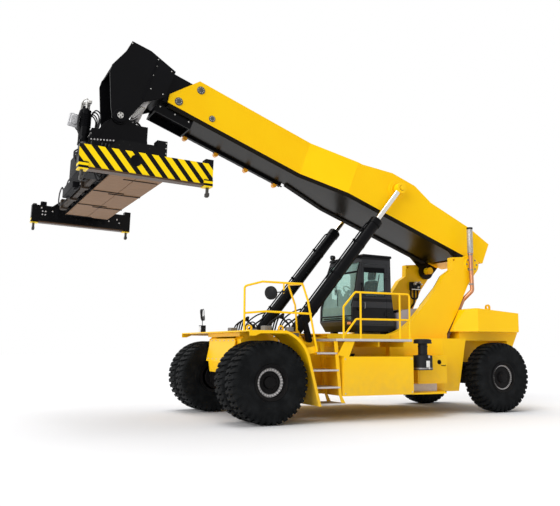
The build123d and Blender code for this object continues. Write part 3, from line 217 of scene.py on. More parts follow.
def smooth_line(route, steps=8):
    """A Catmull-Rom line through the route's points: each span is the cubic whose ends follow the
    chord between the neighbours."""
    p = np.array(route, float)
    p = np.vstack([2 * p[0] - p[1], p, 2 * p[-1] - p[-2]])
    t = np.linspace(0, 1, steps, endpoint=False)[:, None, None]
    a, b, c, d = p[:-3], p[1:-2], p[2:-1], p[3:]
    line = 0.5 * (2 * b + (c - a) * t + (2 * a - 5 * b + 4 * c - d) * t**2 + (3 * b - a - 3 * c + d) * t**3)
    return np.vstack([line.transpose(1, 0, 2).reshape(-1, 3), p[-2]])


def tube(axes, route, radius, sides=10, smooth=True):
    """A round profile carried along a line: centre + radius (cos a side + sin a lift), where side
    and lift stand square to the line."""
    line = axes(smooth_line(route) if smooth else np.array(route, float))
    run = np.gradient(line, axis=0)
    run /= np.linalg.norm(run, axis=1)[:, None]
    level = np.linalg.svd(run)[2][-1]
    side = level - (run @ level)[:, None] * run
    side /= np.linalg.norm(side, axis=1)[:, None]
    lift = np.cross(run, side)
    angle = np.linspace(0, math.tau, sides, endpoint=False)[None, :, None]
    return skin(line[:, None] + radius * (np.cos(angle) * side[:, None] + np.sin(angle) * lift[:, None]))


def repeated(axes, shape, moves, turns=None):
    """One small shape at each of many places, each turned about the axes' up line by its own angle."""
    points, faces = shape
    moves = np.array(moves, float).reshape(-1, 3)
    turns = np.zeros(len(moves)) if turns is None else np.asarray(turns, float)
    cos, sin, zero = np.cos(turns), np.sin(turns), 0 * turns
    turn = np.array([[cos, sin, zero], [-sin, cos, zero], [zero, zero, zero + 1]]).transpose(2, 0, 1)
    placed = np.einsum("ni,kij->knj", points, turn) + moves[:, None]
    offsets = np.arange(len(moves))[:, None, None] * len(points)
    return axes(placed).reshape(-1, 3), [(face + offsets).reshape(-1, face.shape[1]) for face in faces]


def bolt(radius=0.014, height=0.012):
    """A hexagon head on a washer, seated just under the surface that it is on."""
    profile = [(-0.002, radius * 1.35), (0.003, radius * 1.35), (0.003, radius), (height * 0.8, radius),
               (height, radius * 0.8)]
    return turned(LOCAL, profile, 6)


def bolt_circle(axes, radius, count, level, size=0.014, height=0.012, start=0.0):
    """Bolts round a circle at one level of the axes."""
    angle = np.linspace(0, math.tau, count, endpoint=False) + start
    moves = np.stack([radius * np.cos(angle), radius * np.sin(angle), 0 * angle + level], 1)
    return repeated(axes, bolt(size, height), moves, angle)


def bolt_row(axes, start, end, count, size=0.012):
    """Bolts in a line on the face that the axes' up points out of."""
    return repeated(axes, bolt(size, 0.01), np.linspace(start, end, count))


SLOT_OF_FINISH = {
    "amber_paint": "yellow_paint",
    "black": "black_paint",
    "blank_label": "cab_plastic",
    "boom_yellow": "yellow_paint",
    "brown_panel": "brown_plate",
    "cab_grey": "cab_black",
    "dull_steel": "twistlock_steel",
    "grating": "grey_grating",
    "guard": "exhaust_steel",
    "hood_grey": "grey_paint",
    "lamp_lens": "chrome_rod",
    "mirror_glass": "chrome_rod",
    "orange_lens": "twistlock_steel",
    "pad_grey": "twistlock_steel",
    "pale_edge": "twistlock_steel",
    "pale_steel": "twistlock_steel",
    "plastic": "cab_plastic",
    "red_lens": "twistlock_steel",
    "rubber": "hose_rubber",
    "satin_black": "black_paint",
    "screen": "chrome_rod",
    "seat_cloth": "seat_fabric",
    "side_brown": "brown_plate",
    "steel": "twistlock_steel",
    "tyre": "tyre_rubber",
    "yellow": "yellow_paint",
}


def piece(name, body, finish, *shapes, slot=None, replaces=(), crease=35):
    """Makes one object from shapes and lets it ride on a body. Its faces are turned outwards. Its slot, its
    finish's own unless another is named, is worked out but not given to the object."""
    points, faces, total = [], [], 0
    for shape_points, shape_faces in shapes:
        points.append(shape_points)
        faces += [face + total for face in shape_faces]
        total += len(shape_points)
    mesh = bpy.data.meshes.new(name)
    mesh.vertices.add(total)
    mesh.vertices.foreach_set("co", np.vstack(points).astype(np.float32).ravel())
    corners = np.concatenate([np.full(len(face), face.shape[1]) for face in faces])
    starts = np.concatenate([[0], np.cumsum(corners)[:-1]])
    mesh.loops.add(int(corners.sum()))
    mesh.loops.foreach_set("vertex_index", np.concatenate([face.ravel()
                                                           for face in faces]).astype(np.int32))
    mesh.polygons.add(len(corners))
    mesh.polygons.foreach_set("loop_start", starts.astype(np.int32))
    mesh.update(calc_edges=True)
    mesh.validate()
    made = bmesh.new()
    made.from_mesh(mesh)
    bmesh.ops.remove_doubles(made, verts=made.verts, dist=1e-6)
    bmesh.ops.recalc_face_normals(made, faces=made.faces)
    made.to_mesh(mesh)
    made.free()
    mesh.polygons.foreach_set("use_smooth", [True] * len(mesh.polygons))
    mesh.set_sharp_from_angle(angle=math.radians(crease))
    thing = bpy.data.objects.new(name, mesh)
    bpy.context.scene.collection.objects.link(thing)
    mesh.materials.append(FINISH(finish))
    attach(thing, body)
    slot = slot or SLOT_OF_FINISH[finish]
    if replaces:
        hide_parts(*replaces)
    return thing


# ------------------------------------------------------------------ shader maths
class Value:
    """One socket of a material. Arithmetic on it adds Math nodes to its tree."""

    def __init__(self, finish, socket):
        self.finish, self.socket = finish, socket

    def _with(self, operation, *inputs):
        return self.finish.node("Math", {"operation": operation}, dict(enumerate(inputs)))

    def __add__(self, other): return self._with("ADD", self, other)
    def __radd__(self, other): return self._with("ADD", other, self)
    def __sub__(self, other): return self._with("SUBTRACT", self, other)
    def __rsub__(self, other): return self._with("SUBTRACT", other, self)
    def __mul__(self, other): return self._with("MULTIPLY", self, other)
    def __rmul__(self, other): return self._with("MULTIPLY", other, self)
    def __truediv__(self, other): return self._with("DIVIDE", self, other)
    def __mod__(self, other): return self._with("FLOORED_MODULO", self, other)
    def __abs__(self): return self._with("ABSOLUTE", self)
    def __gt__(self, other): return self._with("GREATER_THAN", self, other)
    def __lt__(self, other): return self._with("LESS_THAN", self, other)


class Finish:
    """A material being made: node() adds any node and gives back its output as a Value."""

    def __init__(self, name):
        self.material = bpy.data.materials.new(name)
        self.material.use_nodes = True
        self.tree = self.material.node_tree
        self.tree.nodes.clear()
        self.coordinates = None

    def node(self, kind, settings=None, inputs=None, output=0):
        """Adds a node: its settings are set first, then the values or links of its sockets."""
        made = self.tree.nodes.new("ShaderNode" + kind)
        for key, value in (settings or {}).items():
            setattr(made, key, value)
        for key, value in (inputs or {}).items():
            if isinstance(value, Value):
                self.tree.links.new(value.socket, made.inputs[key])
            else:
                made.inputs[key].default_value = value
        return Value(self, made.outputs[output])

    def place(self):
        """The point's place on the object, in metres."""
        if self.coordinates is None:
            self.coordinates = self.node("TexCoord", output="Object")
        return self.coordinates

    def noise(self, scale, detail=2.0, stretch=None, rough=0.5):
        """Noise from 0 to 1 over the object's own metres, stretched where a stretch is given."""
        where = self.place()
        if stretch:
            where = self.node("Mapping", None, {"Vector": where, "Scale": stretch})
        return self.node("TexNoise", None, {"Vector": where, "Scale": scale, "Detail": detail,
                                            "Roughness": rough})

    def along(self, axes, direction):
        """The point's distance along one of some axes' directions."""
        line = np.array(direction, float) @ axes.turn
        dot = self.node("VectorMath", {"operation": "DOT_PRODUCT"}, {0: self.place(), 1: tuple(line)},
                        "Value")
        return dot - float(line @ axes.origin)

    def step(self, value, low, high):
        """0 below low, 1 above high and straight between."""
        return self.node("MapRange", None, {"Value": value, "From Min": low, "From Max": high})

    def mix(self, first, second, share):
        """A colour between two, by a share from 0 to 1."""
        pair = [colour if isinstance(colour, Value) else (*colour[:3], 1) for colour in (first, second)]
        return self.node("Mix", {"data_type": "RGBA"}, {0: share, 6: pair[0], 7: pair[1]}, 2)

    def bump(self, height, distance):
        """A normal that leans as a height does, whose full height is the distance."""
        return self.node("Bump", None, {"Height": height, "Distance": distance, "Strength": 1.0})

    def surface(self, **sockets):
        """The shader itself; names such as base_color are its sockets'."""
        named = {key.replace("_", " ").title().replace("Ior", "IOR"): value
                 for key, value in sockets.items()}
        for key in ("Base Color", "Emission Color"):
            if key in named and not isinstance(named[key], Value):
                named[key] = (*named[key][:3], 1)
        shader = self.node("BsdfPrincipled", None, named)
        self.node_out(shader)
        return self.material

    def node_out(self, shader):
        """Links a shader to the material's output."""
        end = self.tree.nodes.new("ShaderNodeOutputMaterial")
        self.tree.links.new(shader.socket, end.inputs["Surface"])


# Each recipe takes f, the finish being made, and gives back its material.
RECIPES = {}
MADE = {}


def recipe(function):
    """Keeps a finish's function under its name."""
    RECIPES[function.__name__] = function
    return function


def FINISH(name):
    """The material of that name, made when it is first asked for."""
    if name not in MADE:
        MADE[name] = RECIPES[name](Finish(name))
    return MADE[name]


def settings():
    """The colours and sizes that a user can change."""
    return bpy.context.scene.stacker


def paint(f, colour, deeper, gloss, coat=0.6, mask=None, other=None, other_gloss=0.25, grit=1.0, shine=0.5):
    """Sprayed paint: broad tone drift, road dust low down, fine orange peel and, with coat, a clear coat."""
    drift = f.noise(0.9, 3)
    tone = f.mix(colour, deeper, f.step(drift, 0.35, 0.75))
    height = f.along(MACHINE, UP)
    dirt = f.noise(7, 5) * f.step(height, 1.3, 0.35) * 0.35 * grit
    rough = f.noise(35, 3) * 0.08 + (gloss - 0.04)
    if mask is not None:
        tone = f.mix(tone, other, mask)
        rough = rough + mask * (other_gloss - gloss)
    tone = f.mix(tone, (0.23, 0.2, 0.165), dirt)
    peel = f.noise(160, 2) * 0.6 + f.noise(14, 2)
    return f.surface(base_color=tone, roughness=rough + dirt * 0.5, coat_weight=coat, coat_roughness=0.08,
                     specular_ior_level=shine, normal=f.bump(peel, 0.0006))


@recipe
def yellow(f):
    """The body's yellow paint."""
    s = settings()
    return paint(f, s.yellow, s.yellow_deep, 0.32, coat=0.05, shine=0.16)


@recipe
def boom_yellow(f):
    """The boom's sides and top in yellow; below the belly level its underside is coloured brownish black, painted
    shade standing in for the shadow under the yellow boom.
    """
    s = settings()
    # Painted shade: the boom's underside is coloured brownish black to stand in for the shadow on its yellow
    # belly.
    belly = f.along(BOOM, UP) < SHADED_BELLY_UP
    return paint(f, s.yellow, s.yellow_deep, 0.3, mask=belly, other=(0.006, 0.0045, 0.002),
                 other_gloss=0.26, coat=0.0, shine=0.1)


@recipe
def amber_paint(f):
    """The tray rollers' amber paint."""
    return paint(f, (0.95, 0.42, 0.01), (0.85, 0.34, 0.01), 0.35)


@recipe
def black(f):
    """Gloss black paint."""
    return paint(f, settings().black, (0.004, 0.004, 0.005), 0.3, coat=0.0, grit=0.15, shine=0.07)


@recipe
def satin_black(f):
    """Black paint with a duller face."""
    return paint(f, (0.006, 0.006, 0.007), (0.004, 0.004, 0.005), 0.5, coat=0.0, grit=0.2, shine=0.04)


@recipe
def cab_grey(f):
    """The cab's posts and panels: dark grey, with paler belts along its side."""
    s = settings()
    height = f.along(MACHINE, UP)
    belts = (height > 2.39) * (height < 2.53) + (height > 1.98) * (height < 2.1)
    posts = (height > 2.6) * (height < 3.5)
    share = f.node("Math", {"operation": "MINIMUM"}, {0: belts + posts * 0.8, 1: 1.0})
    return paint(f, s.cab, (0.004, 0.004, 0.005), 0.35, coat=0.0, mask=share, other=s.cab_belt,
                 other_gloss=0.38, grit=0.3, shine=0.15)


@recipe
def hood_grey(f):
    """The engine cover's pale grey paint."""
    return paint(f, (0.33, 0.3, 0.34), (0.27, 0.25, 0.28), 0.42, coat=0.15)


@recipe
def tyre(f):
    """Rubber: dark and matt, with fine pores and patches of dust."""
    pores = f.noise(120, 4, rough=0.7)
    dust = f.step(f.noise(5, 4), 0.42, 0.75)
    tone = f.mix((0.0045, 0.005, 0.0055), (0.012, 0.013, 0.014), dust)
    return f.surface(base_color=tone, roughness=dust * 0.12 + 0.6, specular_ior_level=0.06,
                     normal=f.bump(pores, 0.0012))


@recipe
def rubber(f):
    """Hoses and seals: black rubber with a fine grain."""
    ribs = f.noise(140, 3)
    return f.surface(base_color=f.mix((0.007, 0.007, 0.008), (0.018, 0.018, 0.02), f.noise(12, 3)),
                     roughness=ribs * 0.15 + 0.38, specular_ior_level=0.12, normal=f.bump(ribs, 0.0008))


def polished(f):
    """The colour of polished metal and the fine lines along it."""
    lines = f.noise(60, 2, (1, 1, 30))
    return f.mix((0.75, 0.74, 0.72), (0.6, 0.59, 0.57), f.noise(5, 2)), lines


@recipe
def chrome(f):
    """Polished metal with fine lines along it."""
    metal, lines = polished(f)
    return f.surface(base_color=metal, metallic=1.0, roughness=lines * 0.08 + 0.08,
                     normal=f.bump(lines, 0.0002))


def rod(f, side):
    """A polished rod with its eye painted as the body is."""
    s = settings()
    eye = f.along(cylinder_axes(side), UP) > ROD_EYE_START
    metal, lines = polished(f)
    return f.surface(base_color=f.mix(metal, s.yellow, eye), metallic=1 - eye,
                     roughness=lines * 0.08 + eye * 0.22 + 0.08,
                     specular_ior_level=0.2, normal=f.bump(lines, 0.0002))


@recipe
def rod_left(f):
    """The left lift rod."""
    return rod(f, "left")


@recipe
def rod_right(f):
    """The right lift rod."""
    return rod(f, "right")


@recipe
def steel(f):
    """Bright fittings and bolt heads."""
    grain = f.noise(90, 3)
    return f.surface(base_color=f.mix((0.62, 0.61, 0.58), (0.42, 0.41, 0.39), grain), metallic=0.9,
                     roughness=grain * 0.2 + 0.25, normal=f.bump(grain, 0.0005))


@recipe
def dull_steel(f):
    """Fittings of duller steel."""
    grain = f.noise(60, 4)
    return f.surface(base_color=f.mix((0.3, 0.3, 0.3), (0.16, 0.155, 0.15), grain), metallic=0.7,
                     roughness=grain * 0.25 + 0.35, normal=f.bump(grain, 0.0008))


@recipe
def pad_grey(f):
    """The boom's guide pads: dark grey and hardly shiny."""
    grain = f.noise(40, 3)
    return f.surface(base_color=f.mix((0.12, 0.125, 0.12), (0.05, 0.052, 0.05), grain), metallic=0.3,
                     roughness=grain * 0.2 + 0.4, specular_ior_level=0.2, normal=f.bump(grain, 0.0006))


@recipe
def pale_steel(f):
    """The spreader lamp's housing: sanded light metal with machining marks."""
    marks = f.noise(25, 4)
    return f.surface(base_color=f.mix((0.55, 0.55, 0.56), (0.3, 0.3, 0.31), f.step(marks, 0.4, 0.7)),
                     metallic=0.5, roughness=marks * 0.3 + 0.3, normal=f.bump(f.noise(150, 2), 0.0008))


def tread_plate(f):
    """Rows of raised teeth and the colour of the plate that they stand on."""
    x, y = f.along(MACHINE, AHEAD), f.along(MACHINE, LEFT)
    teeth = f.step(abs(((x / 0.045) % 1.0) - 0.5) * abs(((y / 0.06) % 1.0) - 0.5) * 4, 0.1, 0.45)
    return teeth, f.mix((0.24, 0.23, 0.22), (0.6, 0.6, 0.6), teeth * 0.6 + f.noise(8, 3) * 0.4)


@recipe
def walkway(f):
    """Tread plate on top, with its hangers painted as the body is."""
    teeth, plate = tread_plate(f)
    hanger = f.along(MACHINE, UP) < HANGER_TOP
    s = settings()
    painted = f.mix(s.yellow, s.yellow_deep, f.noise(0.9, 3))
    return f.surface(base_color=f.mix(plate, painted, hanger), metallic=(1 - hanger) * 0.35,
                     roughness=f.noise(40, 2) * 0.2 + 0.34, specular_ior_level=0.2,
                     normal=f.bump(teeth * (1 - hanger), 0.003))


@recipe
def grating(f):
    """Galvanised tread plate, brighter on its teeth."""
    teeth, tone = tread_plate(f)
    return f.surface(base_color=tone, metallic=0.35, roughness=f.noise(40, 2) * 0.2 + 0.38,
                     normal=f.bump(teeth, 0.003))


@recipe
def pale_edge(f):
    """Pale worn metal, on edge strips and bolt heads."""
    grain = f.noise(30, 3)
    return f.surface(base_color=f.mix((0.62, 0.6, 0.6), (0.45, 0.43, 0.42), grain), metallic=0.3,
                     roughness=grain * 0.2 + 0.35, normal=f.bump(f.noise(120, 2), 0.0008))


@recipe
def brown_panel(f):
    """The spreader's underside: primer brown, streaked across, with scuffs."""
    streak = f.noise(9, 4, (0.6, 5, 5))
    scuff = f.step(f.noise(30, 4), 0.58, 0.75)
    tone = f.mix((0.3, 0.175, 0.095), (0.17, 0.1, 0.055), streak)
    return f.surface(base_color=f.mix(tone, (0.33, 0.21, 0.13), scuff * 0.4), roughness=streak * 0.2 + 0.45,
                     specular_ior_level=0.12, normal=f.bump(f.noise(70, 3), 0.001))


@recipe
def side_brown(f):
    """The spreader's side rail: dark brown, streaked."""
    streak = f.noise(6, 4, (4, 0.8, 4))
    return f.surface(base_color=f.mix((0.05, 0.032, 0.02), (0.016, 0.012, 0.009), streak),
                     roughness=streak * 0.2 + 0.4, specular_ior_level=0.15,
                     normal=f.bump(f.noise(60, 3), 0.001))


@recipe
def spreader_black(f):
    """Black above and brown beneath."""
    under = f.along(SPREADER, UP) < SPREADER_UNDER
    return paint(f, settings().black, (0.004, 0.004, 0.005), 0.3, coat=0.0, mask=under,
                 other=(0.2, 0.13, 0.08), other_gloss=0.5, shine=0.1)


def warning_beam(f, sign, striped):
    """An end beam: corner blocks banded in yellow and black, and diagonal stripes on a striped face."""
    s = settings()
    x, z = f.along(SPREADER, AHEAD), f.along(SPREADER, UP)
    y = f.along(SPREADER, (0, sign, 0))
    corner = (abs(x) > 1.03) * (z < -1.596)
    mask = corner * (abs(((z + 1.735) / 0.09) % 1.0 - 0.5) > 0.25) * (y > 2.83)
    if striped:
        slant = (1.137 - (x - (z + 1.295) * 0.86)) % 0.235
        face = (y > BEAM_FACE) * (z > BEAM_UNDER) * (z < BEAM_TOP) * (1 - corner)
        mask = mask + face * (slant < 0.125)
    under = (z < BEAM_UNDER) * (1 - corner)
    base = f.mix(f.mix(s.black, (0.075, 0.045, 0.028), under), (1.0, 0.7, 0.005),
                 f.node("Math", {"operation": "MINIMUM"},
                        {0: mask, 1: 1.0}))
    wear = f.step(f.noise(26, 5), 0.66, 0.74) * 0.25
    return f.surface(base_color=f.mix(base, (0.16, 0.15, 0.14), wear),
                     roughness=f.noise(30, 3) * 0.12 + 0.28,
                     specular_ior_level=0.1, normal=f.bump(f.noise(150, 2), 0.0006))


@recipe
def striped_beam(f):
    """The left end beam, whose face is striped."""
    return warning_beam(f, 1, True)


@recipe
def plain_beam(f):
    """The right end beam, whose face is plain."""
    return warning_beam(f, -1, False)


@recipe
def glass(f):
    """Tinted glazing: a mix of clear and gloss, with a light haze."""
    haze = f.noise(3, 2)
    clear = f.node("BsdfTransparent", None, {"Color": (0.86, 0.96, 0.935, 1)})
    tone = f.mix((0.45, 0.6, 0.57), (0.6, 0.75, 0.72), haze)
    gloss = f.node("BsdfPrincipled", None, {"Base Color": tone, "Roughness": 0.04})
    fresnel = f.node("Fresnel", None, {"IOR": 1.45})
    share = fresnel * 0.5 + f.step(haze, 0.4, 0.8) * 0.03 + 0.02
    f.node_out(f.node("MixShader", None, {0: share, 1: clear, 2: gloss}))
    return f.material


@recipe
def mirror_glass(f):
    """Silvered glass."""
    return f.surface(base_color=f.mix((0.62, 0.62, 0.6), (0.5, 0.5, 0.49), f.noise(8, 2)), metallic=1.0,
                     roughness=f.noise(20, 2) * 0.04 + 0.03)


@recipe
def plastic(f):
    """Black moulded plastic."""
    grain = f.noise(220, 3)
    return f.surface(base_color=f.mix((0.008, 0.008, 0.009), (0.016, 0.016, 0.018), f.noise(6, 3)),
                     roughness=grain * 0.15 + 0.42, specular_ior_level=0.14, normal=f.bump(grain, 0.0008))


@recipe
def seat_cloth(f):
    """Woven seat cover: fine crossed threads, a little nap."""
    x, y, z = (f.along(MACHINE, line) for line in (AHEAD, LEFT, UP))
    warp = abs((((x + z) / 0.004) % 1.0) - 0.5)
    weft = abs(((y / 0.004) % 1.0) - 0.5)
    weave = warp + weft
    tone = f.mix((0.014, 0.014, 0.016), (0.045, 0.045, 0.05), weave)
    return f.surface(base_color=f.mix(tone, (0.03, 0.03, 0.034), f.noise(20, 3)),
                     roughness=f.noise(60, 2) * 0.1 + 0.8, normal=f.bump(weave, 0.0012))


@recipe
def copper_pipe(f):
    """Heat-stained exhaust pipe: copper brown in patches, sooty at its foot."""
    height = f.along(MACHINE, UP)
    heat = f.noise(5, 4)
    tone = f.mix((0.62, 0.27, 0.13), (0.4, 0.2, 0.12), heat)
    tone = f.mix((0.12, 0.07, 0.05), tone, f.step(height, 1.9, 2.7))
    return f.surface(base_color=tone, metallic=0.75, roughness=heat * 0.25 + 0.22,
                     normal=f.bump(f.noise(50, 3), 0.0008))


@recipe
def guard(f):
    """The exhaust's perforated guard: rows of round holes in pale metal, each painted near-black as painted shade
    for the dark gap behind it.
    """
    x, y, z = (f.along(STACK, line) for line in (AHEAD, LEFT, UP))
    around = f.node("Math", {"operation": "ARCTAN2"}, {0: y, 1: x}) * (18 / math.tau)
    rows = z / 0.022
    u = abs((around + ((rows % 2.0) > 1.0) * 0.5) % 1.0 - 0.5)
    v = abs(rows % 1.0 - 0.5)
    # Painted shade: the holes are not cut but coloured near-black, standing in for the shadow seen through them.
    shaded_hole = (u * u + v * v) < 0.09
    grain = f.noise(40, 3)
    return f.surface(base_color=f.mix(f.mix((0.62, 0.6, 0.57), (0.45, 0.42, 0.38), grain),
                                      (0.03, 0.025, 0.02), shaded_hole),
                     metallic=0.5, roughness=grain * 0.2 + 0.35, normal=f.bump(1 - shaded_hole, 0.002))


@recipe
def lock_steel(f):
    """The twist locks' dark steel."""
    return f.surface(base_color=f.mix((0.07, 0.065, 0.06), (0.02, 0.019, 0.018), f.noise(30, 4)),
                     metallic=0.3,
                     roughness=f.noise(50, 3) * 0.25 + 0.35, normal=f.bump(f.noise(90, 3), 0.001))


def moulded_lens(f, colour, deeper):
    """A moulded plastic lens with a fine pebbled face."""
    return f.surface(base_color=f.mix(colour, deeper, f.noise(60, 2)), roughness=0.15, coat_weight=0.8,
                     normal=f.bump(f.noise(120, 1), 0.001))


@recipe
def orange_lens(f):
    """A marker's orange lens."""
    return moulded_lens(f, (0.95, 0.35, 0.03), (0.8, 0.22, 0.02))


@recipe
def red_lens(f):
    """A tail lamp's red lens."""
    return moulded_lens(f, (0.6, 0.02, 0.015), (0.4, 0.01, 0.01))


@recipe
def lamp_lens(f):
    """A clear lens with ribs across it."""
    ribs = abs(((f.along(MACHINE, LEFT) / 0.012) % 1.0) - 0.5)
    return f.surface(base_color=f.mix((0.8, 0.82, 0.84), (0.6, 0.62, 0.65), ribs),
                     roughness=ribs * 0.1 + 0.1, metallic=0.3, coat_weight=0.8, normal=f.bump(ribs, 0.003))


@recipe
def blank_label(f):
    """A label with nothing printed on it."""
    return f.surface(base_color=f.mix((0.8, 0.8, 0.78), (0.62, 0.62, 0.6), f.noise(25, 3)), roughness=0.4,
                     normal=f.bump(f.noise(90, 2), 0.0004))


@recipe
def screen(f):
    """A dark, glossy panel."""
    return f.surface(base_color=f.mix((0.01, 0.014, 0.02), (0.02, 0.03, 0.04), f.noise(9, 2)),
                     roughness=0.08, coat_weight=1.0)


@recipe
def floor_white(f):
    """A pale seamless floor; what it reflects of the lamps reads white, and it keeps the shadow."""
    drift = f.noise(0.3, 2)
    tone = f.mix((0.77, 0.77, 0.78), (0.8, 0.8, 0.81), drift)
    return f.surface(base_color=tone, roughness=0.9, specular_ior_level=0.0)


# ------------------------------------------------------------------ what the user can change
class StackerSettings(bpy.types.PropertyGroup):
    """Colours and sizes of the reach stacker's finish."""

    yellow: bpy.props.FloatVectorProperty(name="Yellow", description="The body's paint", subtype="COLOR",
                                          default=(1.0, 0.6, 0.004), min=0, max=1)
    yellow_deep: bpy.props.FloatVectorProperty(name="Deep yellow", description="The paint's darker drift",
                                               subtype="COLOR", default=(0.98, 0.55, 0.003), min=0, max=1)
    black: bpy.props.FloatVectorProperty(name="Black", description="Gloss black paint", subtype="COLOR",
                                         default=(0.003, 0.003, 0.0035), min=0, max=1)
    cab: bpy.props.FloatVectorProperty(name="Cab", description="The cab's lower panels", subtype="COLOR",
                                       default=(0.006, 0.006, 0.007), min=0, max=1)
    cab_belt: bpy.props.FloatVectorProperty(name="Cab belts", description="The cab's posts and belts",
                                            subtype="COLOR", default=(0.035, 0.036, 0.04), min=0, max=1)
    lug_count: bpy.props.IntProperty(name="Lugs", description="Tread lugs round each shoulder of a tyre",
                                     default=38, min=20, max=60)
    lug_depth: bpy.props.FloatProperty(name="Tread depth", description="Height of the lugs over the casing",
                                       default=0.042, unit="LENGTH")
    hose_radius: bpy.props.FloatProperty(name="Hose radius", description="Radius of the hydraulic hoses",
                                         default=0.018, unit="LENGTH")
    lamp_level: bpy.props.FloatProperty(name="Lamp level", description="Strength of the key light",
                                        default=2.1, min=0)
    sky_level: bpy.props.FloatProperty(name="Sky level", description="Strength of the soft light all round",
                                       default=0.52, min=0)


class STACKER_OT_stage(bpy.types.Operator):
    """Makes the pale floor, the soft lights and the camera"""

    bl_idname = "stacker.stage"
    bl_label = "Stage"

    def execute(self, context):
        s = context.scene.stacker
        angle = np.linspace(0, math.tau, 64, endpoint=False)
        mesh = bpy.data.meshes.new("floor")
        disc = np.stack([FLOOR_RADIUS * np.cos(angle), FLOOR_RADIUS * np.sin(angle), 0 * angle - 0.001], 1)
        mesh.from_pydata(disc.tolist(), [], [list(range(64))])
        mesh.materials.append(FINISH("floor_white"))
        floor = bpy.data.objects.new("floor", mesh)
        context.scene.collection.objects.link(floor)

        lamps = [("top", s.lamp_level, (-0.05, -0.45, 1.0), 50),
                 ("side", s.lamp_level * 0.85, (0.35, 0.85, 0.4), 40)]
        for name, strength, toward, size in lamps:
            lamp = bpy.data.lights.new(name, "SUN")
            lamp.energy, lamp.angle = strength, math.radians(size)
            thing = bpy.data.objects.new(name, lamp)
            thing.matrix_world = stand(Axes((0, 0, 0), (0, 1, 0.01), toward).turn, (0, 0, 0))
            context.scene.collection.objects.link(thing)

        world = bpy.data.worlds.new("soft_white")
        world.use_nodes = True
        tree = world.node_tree
        tree.nodes.clear()
        path = tree.nodes.new("ShaderNodeLightPath")
        seen = tree.nodes.new("ShaderNodeMath")
        seen.operation = "MAXIMUM"
        tree.links.new(path.outputs["Is Camera Ray"], seen.inputs[0])
        both = tree.nodes.new("ShaderNodeMath")
        both.operation = "MAXIMUM"
        tree.links.new(path.outputs["Is Glossy Ray"], both.inputs[0])
        tree.links.new(path.outputs["Is Transmission Ray"], both.inputs[1])
        tree.links.new(both.outputs[0], seen.inputs[1])
        level = tree.nodes.new("ShaderNodeMapRange")
        level.inputs["To Min"].default_value = s.sky_level
        tree.links.new(seen.outputs[0], level.inputs["Value"])
        back = tree.nodes.new("ShaderNodeBackground")
        back.inputs["Color"].default_value = (1, 1, 1, 1)
        tree.links.new(level.outputs[0], back.inputs["Strength"])
        out = tree.nodes.new("ShaderNodeOutputWorld")
        tree.links.new(back.outputs[0], out.inputs["Surface"])
        context.scene.world = world
        context.scene.view_settings.view_transform = "Standard"

        camera = bpy.data.cameras.new("camera")
        camera.sensor_width, camera.lens = CAMERA_SENSOR, CAMERA_LENS
        camera.clip_end = 500
        eye = bpy.data.objects.new("camera", camera)
        bearing, pitch, roll = CAMERA_BEARING, CAMERA_PITCH, CAMERA_ROLL
        look = np.array([-math.sin(bearing) * math.cos(pitch), -math.cos(bearing) * math.cos(pitch),
                         math.sin(pitch)])
        right = np.array([-math.cos(bearing), math.sin(bearing), 0])
        up = np.cross(right, look)
        tilted = [right * math.cos(roll) + up * math.sin(roll),
                  up * math.cos(roll) - right * math.sin(roll), -look]
        eye.matrix_world = stand(tilted, CAMERA_PLACE)
        context.scene.collection.objects.link(eye)
        context.scene.camera = eye
        return {"FINISHED"}


FINISH_OF_SLOT = {
    "yellow_paint": "yellow", "grey_grating": "grating", "grey_paint": "hood_grey", "black_paint": "black",
    "brown_plate": "spreader_black", "cab_black": "cab_grey", "tyre_rubber": "tyre", "chrome_rod": "chrome",
    "cab_glass": "glass", "seat_fabric": "seat_cloth", "cab_plastic": "plastic", "hose_rubber": "rubber",
    "exhaust_steel": "copper_pipe", "twistlock_steel": "lock_steel",
}
FINISH_OF_NODE = {"outer_boom": "boom_yellow", "lift_rod_left": "rod_left", "lift_rod_right": "rod_right",
                  "walkways": "walkway", "end_beam_left": "striped_beam", "end_beam_right": "plain_beam"}


class STACKER_OT_finishes(bpy.types.Operator):
    """Gives every CAD node the finish of its material slot"""

    bl_idname = "stacker.finishes"
    bl_label = "Finishes"

    def execute(self, context):
        slot_of = {part["node"]: part["material_slot"] for part in frame["record"]["subparts"]}
        for node, thing in frame["nodes"].items():
            material = FINISH(FINISH_OF_NODE.get(node, FINISH_OF_SLOT[slot_of[node]]))
            if not thing.material_slots:
                thing.data.materials.append(material)
            for slot in thing.material_slots:
                slot.material = material
        return {"FINISHED"}


def tyre_casing(axes, lug_depth):
    """A tyre's carcass: its half profile from bead to crown, mirrored and turned about the axle."""
    crown = TYRE_RADIUS - lug_depth
    half = [(0.219, 0.3178), (0.219, 0.352), (0.229, 0.36), (0.238, 0.39), (0.2475, 0.44), (0.2495, 0.47),
            (0.2465, 0.475), (0.249, 0.53), (0.2475, 0.6), (0.2445, 0.65), (0.24, 0.69), (0.232, 0.72),
            (0.215, 0.748), (0.19, crown - 0.004), (0.1, crown), (0.0, crown + 0.002)]
    profile = half + [(-y, r) for y, r in reversed(half[:-1])]
    return turned(axes, profile, 96, wrap=True)


